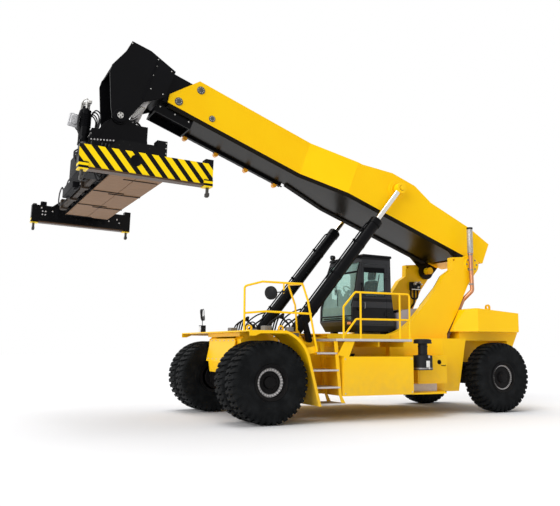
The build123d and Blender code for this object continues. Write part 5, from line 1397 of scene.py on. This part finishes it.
class STACKER_OT_cab_outside(bpy.types.Operator):
    """Makes the cab's seals, visor, wiper, lamps, handle, rails, folds and louvres"""

    bl_idname = "stacker.cab_outside"
    bl_label = "Cab outside"

    def execute(self, context):
        for side, body, y in (("left", "cab_door", 0.742), ("right", "chassis", -0.742)):
            outer = np.array(rectangle(-3.502, -2.918, 2.64, 3.325, 0.03))
            centre = outer.mean(0)
            inner = centre + (outer - centre) * 0.955
            ring = [np.column_stack([points[:, 0], np.full(len(points), level), points[:, 1]])
                    for points, level in ((outer, y - 0.012), (outer, y + 0.01), (inner, y + 0.01),
                                          (inner, y - 0.012))]
            piece("window_seal_" + side, body, "rubber", skin(MACHINE(np.array(ring)), wrap=True))
        visor = slab(MACHINE, rectangle(-3.5, -2.92, 3.2, 3.325, 0.01), 0.734, 0.742, "side", 0.001)
        piece("door_visor", "cab_door", "satin_black", visor, slot="cab_black")
        bar = tube(MACHINE, [(-2.815, -0.68, 3.22), (-2.815, 0.68, 3.22)], 0.022, 8, False)
        piece("windscreen_bar", "chassis", "satin_black", bar, slot="cab_black")
        wiper = [tube(MACHINE, [(-2.612, 0.1, 2.44), (-2.64, 0.05, 2.62), (-2.7, -0.1, 2.82),
                                (-2.745, -0.2, 3.0)], 0.008, 6),
                 tube(MACHINE, [(-2.675, -0.12, 2.72), (-2.72, -0.2, 2.92), (-2.775, -0.26, 3.18)], 0.012,
                      6)]
        piece("wiper", "chassis", "satin_black", *wiper, slot="cab_black")
        frame_line = []
        for sign in (1, -1):
            frame_line.append(tube(MACHINE, [(-2.618, sign * 0.69, 2.42), (-2.7, sign * 0.69, 2.7),
                                             (-2.8, sign * 0.69, 3.25), (-2.86, sign * 0.69, 3.43)], 0.014,
                                   8))
        frame_line.append(tube(MACHINE, [(-2.61, -0.69, 2.2), (-2.61, 0.69, 2.2)], 0.014, 8, False))
        piece("windscreen_seal", "chassis", "rubber", *frame_line)

        housings, lenses, brackets = [], [], []
        for y in (-0.5, 0.5):
            aim = Axes(MACHINE([-2.83, y, 3.66]), LEFT, unit((1, 0, -0.25)))
            housings.append(turned(aim, [(-0.06, 0.02), (-0.055, 0.045), (-0.01, 0.062), (0.03, 0.066),
                                         (0.036, 0.06)], 24))
            lenses.append(turned(aim, [(0.032, 0.058), (0.04, 0.05), (0.043, 0.004)], 24))
            brackets.append(brick(MACHINE, (-2.88, -2.84), (y - 0.02, y + 0.02), (3.6, 3.65), 0.004))
        piece("roof_lamps", "chassis", "plastic", *housings, *brackets)
        piece("roof_lamp_lenses", "chassis", "screen", *lenses)
        gutters = [tube(MACHINE, [(-2.9, sign * 0.768, 3.575), (-3.66, sign * 0.768, 3.56)], 0.012, 8,
                        False) for sign in (1, -1)]
        hatch = brick(MACHINE, (-3.45, -3.05), (-0.3, 0.3), (3.61, 3.635), 0.008, 0.03)
        piece("roof_trim", "chassis", "satin_black", *gutters, hatch, slot="cab_black")

        handle = [tube(MACHINE, [(-2.93, 0.752, 2.5), (-2.93, 0.79, 2.49), (-2.93, 0.79, 2.38),
                                 (-2.93, 0.752, 2.37)], 0.011, 8)]
        grab = [tube(MACHINE, [(-2.78, 0.75, 2.35), (-2.775, 0.8, 2.37), (-2.85, 0.8, 2.9),
                               (-2.86, 0.75, 2.93)], 0.014, 8)]
        piece("door_handle", "cab_door", "dull_steel", *handle)
        piece("cab_grab_rail", "chassis", "satin_black", *grab, slot="cab_black")
        marker = brick(MACHINE, (-2.62, -2.57), (0.58, 0.7), (2.0, 2.06), 0.01, 0.015)
        piece("cab_marker", "chassis", "orange_lens", marker)
        louvres = [slab(MACHINE, [(-2.606, 2.12 + 0.04 * k), (-2.59, 2.11 + 0.04 * k),
                                  (-2.606, 2.1 + 0.04 * k)], -0.55, 0.55, "side", 0.0005)
                   for k in range(2)]
        piece("cab_louvres", "chassis", "satin_black", *louvres, slot="cab_black")
        folds = [slab(MACHINE, rectangle(-3.5, -2.92, z, z + 0.014), 0.75, 0.757, "side", 0.001)
                 for z in (2.39, 2.53)]
        piece("door_folds", "cab_door", "cab_grey", *folds)
        return {"FINISHED"}


def cushion(axes, x, y, z, bulge, seams):
    """A crowned closed form: sections |u|^p + |w|^p = 1 with p = 2 / 0.42, swelling by
    (1 - u^4)(1 - v^4), with sewn channels pulled in along its seams."""
    rows, columns = 48, 64
    low = np.linspace(-1, 1, rows)
    angle = np.linspace(0, math.tau, columns, endpoint=False)
    cos, sin = np.cos(angle), np.sin(angle)
    power = 0.42
    width = (1 - np.abs(low) ** 6) ** 0.25 * 0.12 + 0.88
    u = np.outer(width, np.sign(cos) * np.abs(cos) ** power)
    w = np.outer(width, np.sign(sin) * np.abs(sin) ** power)
    v = np.outer(low, np.ones(columns))
    swell = 1 + bulge * (1 - np.abs(u) ** 4) * (1 - np.abs(v) ** 4)
    channel = sum(np.exp(-((v - seam) / 0.035) ** 2) for seam in seams) if len(seams) else 0
    w = w * (swell - 0.16 * channel * (np.abs(u) < 0.97))
    cup = (1 - low**8)[:, None] * 0.06 + 0.94
    grid = np.stack([x[0] + (x[1] - x[0]) * (u * cup + 1) / 2, y[0] + (y[1] - y[0]) * (v + 1) / 2,
                     z[0] + (z[1] - z[0]) * (w * cup + 1) / 2], -1)
    return skin(axes(grid))


class STACKER_OT_cab_inside(bpy.types.Operator):
    """Makes the padded seat, its base and the cab's controls"""

    bl_idname = "stacker.cab_inside"
    bl_label = "Cab inside"

    def execute(self, context):
        y = SEAT_Y
        seat = cushion(MACHINE, (-3.47, -3.01), (y - 0.25, y + 0.25), (2.29, 2.405), 0.1, (-0.55, 0.55))
        back_axes = Axes(MACHINE([-3.43, y, 2.4]), (0.99, 0, 0.13), (-0.135, 0, 0.99))
        leaning = Axes(back_axes.origin, back_axes.turn[2], -back_axes.turn[0])
        back = cushion(leaning, (0.02, 0.68), (-0.235, 0.235),
                       (-0.045, 0.055), 0.25, (-0.6, 0.6))
        rest = cushion(leaning, (0.7, 0.93), (-0.125, 0.125),
                       (-0.035, 0.045), 0.3, ())
        arm_y = y + 0.3
        arm = cushion(MACHINE, (-3.42, -3.1), (arm_y - 0.03, arm_y + 0.03), (2.58, 2.64), 0.1, ())
        base = [brick(MACHINE, (-3.47, -3.08), (y - 0.2, y + 0.2), (1.902, 2.02), 0.01, 0.03),
                brick(MACHINE, (-3.46, -3.04), (y - 0.23, y + 0.23), (2.21, 2.29), 0.012, 0.04)]
        folds = [slab(MACHINE, rectangle(-3.44 + inset, -3.1 - inset, y - 0.17 + inset, y + 0.17 - inset,
                                         0.03),
                      2.02 + 0.032 * k, 2.052 + 0.032 * k, "plan", 0.01)
                 for k, inset in enumerate((0, 0.02, 0, 0.02, 0, 0.02))]
        posts = [tube(MACHINE, [(-3.49, y + d, 3.04), (-3.5, y + d, 3.14)], 0.009, 8, False)
                 for d in (-0.06, 0.06)]
        for name, shape, fill in (("seat_cushion", seat, 0.8), ("seat_back", back, 0.8),
                                  ("seat_headrest", rest, 0.9)):
            piece(name, "chassis", "seat_cloth", shape, slot="seat_fabric")
        piece("seat_arm", "chassis", "plastic", arm)
        piece("seat_base", "chassis", "plastic", *base, *folds, *posts, replaces=("operator_seat",))
        belt = tube(MACHINE, [(-3.56, 0.44, 3.2), (-3.5, 0.43, 2.9), (-3.42, 0.42, 2.6),
                              (-3.4, 0.41, 2.34)], 0.012, 6)
        piece("seat_belt", "chassis", "rubber", belt)

        sticks, knobs = [], []
        for x, across in ((-3.02, -0.2), (-3.1, -0.2), (-2.99, 0.42)):
            sticks.append(tube(MACHINE, [(x, across, 2.55), (x + 0.02, across, 2.66)], 0.01, 8, False))
            knobs.append(turned(MACHINE.facing(UP, (x + 0.022, across, 2.66)),
                                [(0, 0.012), (0.02, 0.026), (0.07, 0.03), (0.1, 0.02), (0.108, 0.004)], 16))
        box = brick(MACHINE, (-3.1, -2.92), (-0.27, -0.13), (2.5, 2.57), 0.01, 0.02)
        piece("levers", "chassis", "plastic", *sticks, *knobs, box)
        panel = Axes(MACHINE([-2.9, -0.32, 2.78]), LEFT, (-0.94, 0, 0.34))
        tablet = slab(panel, rectangle(-0.12, 0.12, -0.09, 0.09, 0.015), -0.014, 0.0)
        stalk = tube(MACHINE, [(-2.82, -0.2, 2.5), (-2.86, -0.28, 2.62), (-2.9, -0.32, 2.76)], 0.012, 8)
        face = slab(panel, rectangle(-0.105, 0.105, -0.075, 0.075, 0.008), -0.001, 0.003, "plan", 0.001)
        piece("display", "chassis", "plastic", tablet, stalk)
        piece("display_glass", "chassis", "screen", face, slot="cab_plastic")
        pedals = [slab(Axes(MACHINE([-2.83, across, 1.96]), LEFT, (-0.8, 0, 0.6)),
                       rectangle(-0.05, 0.05, -0.08, 0.08, 0.01), 0, 0.02)
                  for across in (-0.14, 0.06, 0.2)]
        piece("pedals", "chassis", "plastic", *pedals)
        return {"FINISHED"}


class STACKER_OT_decks(bpy.types.Operator):
    """Makes the decks' edge strips, mats, treads, lids, flaps, caps, eyes and bolts"""

    bl_idname = "stacker.decks"
    bl_label = "Deck fittings"

    def execute(self, context):
        for side, sign in SIDES:
            edge = [slab(MACHINE, rectangle(-3.31, -1.44, 1.615, 1.662), sign * 2.0205 - 0.004,
                         sign * 2.0205 + 0.004, "side", 0.001)]
            mats = [brick(MACHINE, (-0.28, 0.4), tuple(sorted((sign * 1.2, sign * 1.98))),
                          (DECK_TOP, 1.8095), 0.001, 0.02)]
            piece("walkway_edge_" + side, "chassis", "pale_edge", *edge, slot="grey_grating")
            piece("deck_mat_" + side, "chassis", "grating", *mats)
            treads, lips = [], []
            for z, front, back in ((0.37, -1.085, -1.69), (0.70, -1.004, -1.575), (1.04, -0.915, -1.545),
                                   (1.38, -1.044, -1.510)):
                low, high = sorted((sign * 1.362, sign * 1.928))
                treads.append(brick(MACHINE, (back + 0.012, front - 0.012), (low, high),
                                    (z - 0.002, z + 0.004), 0.001))
                lip = sign * 1.9505
                lips.append(slab(MACHINE, rectangle(back, front, z - 0.032, z + 0.002), lip - 0.004,
                                 lip + 0.004, "side", 0.001))
            piece("step_treads_" + side, "chassis", "grating", *treads)
            piece("step_lips_" + side, "chassis", "pale_edge", *lips, slot="grey_grating")
            tank = MACHINE.facing((0, sign, 0), (0, sign * TANK_WALL, 0))
            corners = [repeated(tank, bolt(0.012, 0.008), [tank.local(MACHINE([x, sign * TANK_WALL, z]))])
                       for x in (-3.31, -1.67) for z in (0.56, 1.25)]
            piece("tank_bolts_" + side, "chassis", "pale_edge", *corners, crease=20)
            cap = MACHINE.facing(UP, (-2.0, sign * 1.7, 1.3))
            piece("tank_cap_" + side, "chassis", "satin_black",
                  turned(cap, [(-0.002, 0.05), (0.02, 0.05), (0.022, 0.07), (0.055, 0.07), (0.06, 0.062),
                               (0.06, 0.005)], 24))
            lid = [slab(MACHINE, rectangle(-4.5, -3.78, 0.74, 1.27, 0.02), sign * 1.632 - 0.005,
                        sign * 1.632 + 0.005, "side", 0.002)]
            piece("rear_box_lid_" + side, "chassis", "yellow", *lid)
            skirt = slab(MACHINE, [(-3.7, 0.7), (-4.36, 0.7), (-4.36, 0.53), (-3.7, 0.53)],
                         *sorted((sign * 1.46, sign * 1.49)), "side", 0.004)
            piece("rear_box_skirt_" + side, "chassis", "pale_edge", skirt, slot="grey_grating")
            lock = MACHINE.facing((0, sign, 0), (-4.32, sign * 1.636, 1.17))
            piece("rear_box_lock_" + side, "chassis", "satin_black",
                  turned(lock, [(-0.002, 0.05), (0.014, 0.05), (0.02, 0.04), (0.02, 0.02), (0.012, 0.015),
                                (0.012, 0.003)], 24),
                  tube(MACHINE, [(-4.37, sign * 1.64, 1.1), (-4.44, sign * 1.652, 1.09),
                                 (-4.5, sign * 1.64, 1.1)], 0.008, 6))
            flap = [slab(MACHINE, [(-1.05, 2.03), (-1.115, 2.0), (-1.22, 1.62), (-1.19, 1.58),
                                   (-1.13, 1.6)],
                         *sorted((sign * 1.28, sign * 1.44)), "side", 0.008)]
            piece("splash_flap_" + side, "chassis", "satin_black", *flap)
            arm = tube(MACHINE, [(-1.05, sign * 1.36, 1.78), (-1.09, sign * 1.36, 1.82),
                                 (-1.1, sign * 1.36, 1.9)], 0.014, 8)
            piece("flap_arm_" + side, "chassis", "satin_black", arm)

        apron = Axes(MACHINE([0.27, 0, 1.42]), LEFT, unit((0.98, 0, 0.2)))
        piece("apron_bolts", "chassis", "pale_edge",
              bolt_row(apron, (-0.62, 0.2, 0.0), (0.62, 0.2, 0.0), 6, 0.014),
              bolt_row(apron, (-0.62, -0.2, 0.0), (0.62, -0.2, 0.0), 6, 0.014), crease=20)
        eyes = []
        for x, y in ((0.07, 1.1), (-0.62, 1.16)):
            ring = MACHINE.facing(LEFT, (x, y, 1.87))
            eyes.append(turned(ring, [(-0.014, 0.034), (-0.014, 0.062), (-0.008, 0.068), (0.008, 0.068),
                                      (0.014, 0.062), (0.014, 0.034)],
                               24, wrap=True))
            eyes.append(brick(MACHINE, (x - 0.05, x + 0.05), (y - 0.012, y + 0.012), (1.8, 1.822), 0.003))
        piece("deck_eyes", "chassis", "yellow", *eyes)
        piece("deck_seam", "chassis", "yellow",
              brick(MACHINE, (-1.05, -0.6), (-0.012, 0.012), (DECK_TOP, 1.812), 0.001))
        return {"FINISHED"}


class STACKER_OT_mast(bpy.types.Operator):
    """Makes the mast's pin caps, valve fittings and the engine cover's panels"""

    bl_idname = "stacker.mast"
    bl_label = "Mast fittings"

    def execute(self, context):
        caps, bolts = [], []
        for sign in (1, -1):
            pivot = MACHINE.facing((0, sign, 0), (-5.85, sign * 1.02, 3.505))
            caps.append(turned(pivot, [(-0.005, 0.2), (0.012, 0.2), (0.02, 0.19), (0.02, 0.1),
                                       (0.035, 0.092), (0.035, 0.01)], 40))
            bolts.append(bolt_circle(pivot, 0.15, 8, 0.02, 0.017, 0.02))
        piece("pivot_caps", "chassis", "yellow", *caps)
        piece("pivot_bolts", "chassis", "dull_steel", *bolts, crease=20)
        wall = -0.85
        fittings = []
        for x, z in ((-5.62, 3.14), (-5.52, 3.06), (-5.42, 3.14), (-5.57, 3.19), (-5.46, 3.18)):
            aim = MACHINE.facing(LEFT, (x, wall + 0.15, z))
            fittings.append(turned(aim, [(-0.02, 0.03), (0.03, 0.03), (0.035, 0.022), (0.06, 0.02),
                                         (0.06, 0.004)], 6))
        fittings.append(brick(MACHINE, (-5.66, -5.36), (wall + 0.11, wall + 0.118), (2.995, 3.02), 0.001))
        piece("mast_valve_fittings", "chassis", "steel", *fittings, crease=25)
        louvres = []
        for k in range(7):
            x = -3.96 - 0.13 * k
            louvres.append(slab(MACHINE, [(x, 2.345), (x - 0.05, 2.375), (x - 0.06, 2.37),
                                          (x - 0.012, 2.34)], -0.6, 0.6, "side", 0.001))
        piece("hood_louvres", "chassis", "satin_black", *louvres)
        piece("hood_front_panel", "chassis", "hood_grey",
              slab(MACHINE, rectangle(-0.8, 0.8, 1.84, 2.28, 0.02), -3.856, -3.844, "cross", 0.003))
        piece("hood_trim", "chassis", "satin_black",
              brick(MACHINE, (-3.9, -3.84), (-0.84, 0.84), (2.3, 2.345), 0.006))
        return {"FINISHED"}


class STACKER_OT_exhaust(bpy.types.Operator):
    """Makes the exhaust's guard, cap and clamps and the air cleaner's rims, band and label"""

    bl_idname = "stacker.exhaust"
    bl_label = "Exhaust and intake"

    def execute(self, context):
        guard = turned(STACK, [(3.77, 0.066), (3.775, 0.0685), (4.36, 0.0685), (4.365, 0.066)], 48,
                       wrap=False)
        piece("exhaust_guard", "chassis", "guard", guard)
        cap = turned(STACK, [(4.36, 0.07), (4.365, 0.074), (4.4, 0.074), (4.405, 0.07), (4.405, 0.055),
                             (4.375, 0.052), (4.375, 0.005)], 40)
        clamps = [turned(STACK, [(z, 0.051), (z, 0.058), (z + 0.03, 0.058), (z + 0.03, 0.051)], 32,
                         wrap=True) for z in (3.0, 3.35, 3.72)]
        piece("exhaust_cap", "chassis", "satin_black", cap)
        piece("exhaust_clamps", "chassis", "dull_steel", *clamps,
              brick(MACHINE, (-5.8, -5.73), (1.02, 1.06), (3.35, 3.38), 0.003))
        can = MACHINE.shifted(-3.705, 1.86, 0)
        band = turned(can, [(1.03, 0.2), (1.03, 0.211), (1.06, 0.211), (1.06, 0.2)], 48, wrap=True)
        rims = [turned(can, [(1.31, 0.1), (1.318, 0.19), (1.322, 0.19), (1.33, 0.12), (1.34, 0.1)], 48),
                turned(can, [(1.5, 0.097), (1.5, 0.106), (1.53, 0.106), (1.53, 0.097)], 40, wrap=True),
                turned(can, [(1.575, 0.192), (1.58, 0.197), (1.6, 0.197), (1.605, 0.192)], 48, wrap=False),
                turned(can, [(1.652, 0.188), (1.668, 0.17), (1.675, 0.1), (1.675, 0.005)], 48)]
        piece("intake_rims", "chassis", "plastic", *rims)
        piece("intake_bands", "chassis", "dull_steel", band)
        turn = np.linspace(math.radians(74), math.radians(98), 8)
        arc = [(0.2065 * math.cos(a), 0.2065 * math.sin(a))
               for a in turn] + [(0.2035 * math.cos(a), 0.2035 * math.sin(a)) for a in turn[::-1]]
        label = slab(can, arc, 1.07, 1.21, "plan", 0.0005)
        piece("intake_label", "chassis", "blank_label", label)
        feet = [brick(can, (-0.02, 0.02), (0.2, 0.225), (z, z + 0.05), 0.004) for z in (1.03, 1.27)]
        piece("intake_clasps", "chassis", "steel", *feet)
        return {"FINISHED"}


class STACKER_OT_rear(bpy.types.Operator):
    """Makes the counterweight's lamps and its tow pin's handle"""

    bl_idname = "stacker.rear"
    bl_label = "Rear fittings"

    def execute(self, context):
        lamps, lenses, whites = [], [], []
        for sign in (1, -1):
            aim = Axes(MACHINE([-7.23, sign * 0.9, 2.1]), LEFT, (-1, 0, 0))
            lamps.append(slab(aim, rectangle(-0.13, 0.13, -0.07, 0.07, 0.02), -0.01, 0.03, "plan", 0.006))
            lenses.append(slab(aim, rectangle(-0.12, 0.0, -0.055, 0.055, 0.015), 0.028, 0.036, "plan",
                               0.003))
            whites.append(slab(aim, rectangle(0.01, 0.12, -0.055, 0.055, 0.015), 0.028, 0.036, "plan",
                               0.003))
        piece("tail_lamps", "chassis", "satin_black", *lamps)
        piece("tail_lenses", "chassis", "red_lens", *lenses)
        piece("tail_markers", "chassis", "orange_lens", *whites)
        pin = turned(MACHINE.facing(UP, (-7.16, 0, 2.28)),
                     [(0.0, 0.024), (0.05, 0.024), (0.06, 0.034), (0.08, 0.034), (0.085, 0.005)], 20)
        piece("tow_pin_handle", "chassis", "dull_steel", pin)
        return {"FINISHED"}


class STACKER_OT_mirrors(bpy.types.Operator):
    """Makes the mirrors' glasses and shells and the foot lamp's lens"""

    bl_idname = "stacker.mirrors"
    bl_label = "Mirrors"

    def execute(self, context):
        glasses, rims = [], []
        for place, out, radius, thick in (((-0.075, 1.83, 2.545), (0.82, 0.55, -0.14), 0.134, 0.02),
                                          ((0.0, -1.95, 2.25), (3, -2, -0.75), 0.144, 0.018)):
            for turn, name in ((-1, "glass"), (1, "shell")):
                face = Axes(MACHINE(place), (0.1, 0.2, 1), turn * unit(out))
                if name == "glass":
                    glasses.append(turned(face, [(thick - 0.002, radius - 0.014),
                                                 (thick + 0.003, radius - 0.018),
                                                 (thick + 0.007, radius * 0.5), (thick + 0.008, 0.004)],
                                          40))
                    rims.append(turned(face, [(thick - 0.004, radius + 0.002), (thick + 0.006, radius),
                                              (thick + 0.006, radius - 0.012),
                                              (thick - 0.004, radius - 0.014)], 40, wrap=True))
                else:
                    rims.append(turned(face, [(thick - 0.004, radius - 0.004),
                                              (thick + 0.012, radius - 0.03), (thick + 0.022, radius * 0.5),
                                              (thick + 0.025, 0.004)], 40))
        piece("mirror_glasses", "chassis", "mirror_glass", *glasses)
        piece("mirror_shells", "chassis", "plastic", *rims)
        lens = slab(Axes(MACHINE([0.06, -1.95, 1.9]), LEFT, (1, 0, 0)),
                    rectangle(-0.07, 0.07, -0.08, 0.08, 0.015), -0.002, 0.006, "plan", 0.002)
        piece("foot_lamp_lens", "chassis", "lamp_lens", lens)
        return {"FINISHED"}


OPERATORS = (STACKER_OT_stage, STACKER_OT_finishes, STACKER_OT_tyres, STACKER_OT_hubs, STACKER_OT_boom,
             STACKER_OT_head, STACKER_OT_spreader, STACKER_OT_ends, STACKER_OT_cylinders,
             STACKER_OT_cab_outside,
             STACKER_OT_cab_inside, STACKER_OT_decks, STACKER_OT_mast, STACKER_OT_exhaust, STACKER_OT_rear,
             STACKER_OT_mirrors)


class STACKER_PT_panel(bpy.types.Panel):
    """Lists the operators and the settings in the sidebar"""

    bl_idname = "STACKER_PT_panel"
    bl_label = "Reach stacker"
    bl_space_type = "VIEW_3D"
    bl_region_type = "UI"
    bl_category = "Stacker"

    def draw(self, context):
        for name in StackerSettings.__annotations__:
            self.layout.prop(context.scene.stacker, name)
        for operator in OPERATORS:
            self.layout.operator(operator.bl_idname)


CLASSES = (StackerSettings, *OPERATORS, STACKER_PT_panel)


def register():
    for item in CLASSES:
        bpy.utils.register_class(item)
    bpy.types.Scene.stacker = bpy.props.PointerProperty(type=StackerSettings)


def unregister():
    del bpy.types.Scene.stacker
    for item in reversed(CLASSES):
        bpy.utils.unregister_class(item)


def main():
    register()
    for operator in OPERATORS:
        group, name = operator.bl_idname.split(".")
        getattr(getattr(bpy.ops, group), name)()


if __name__ == "__main__":
    main()
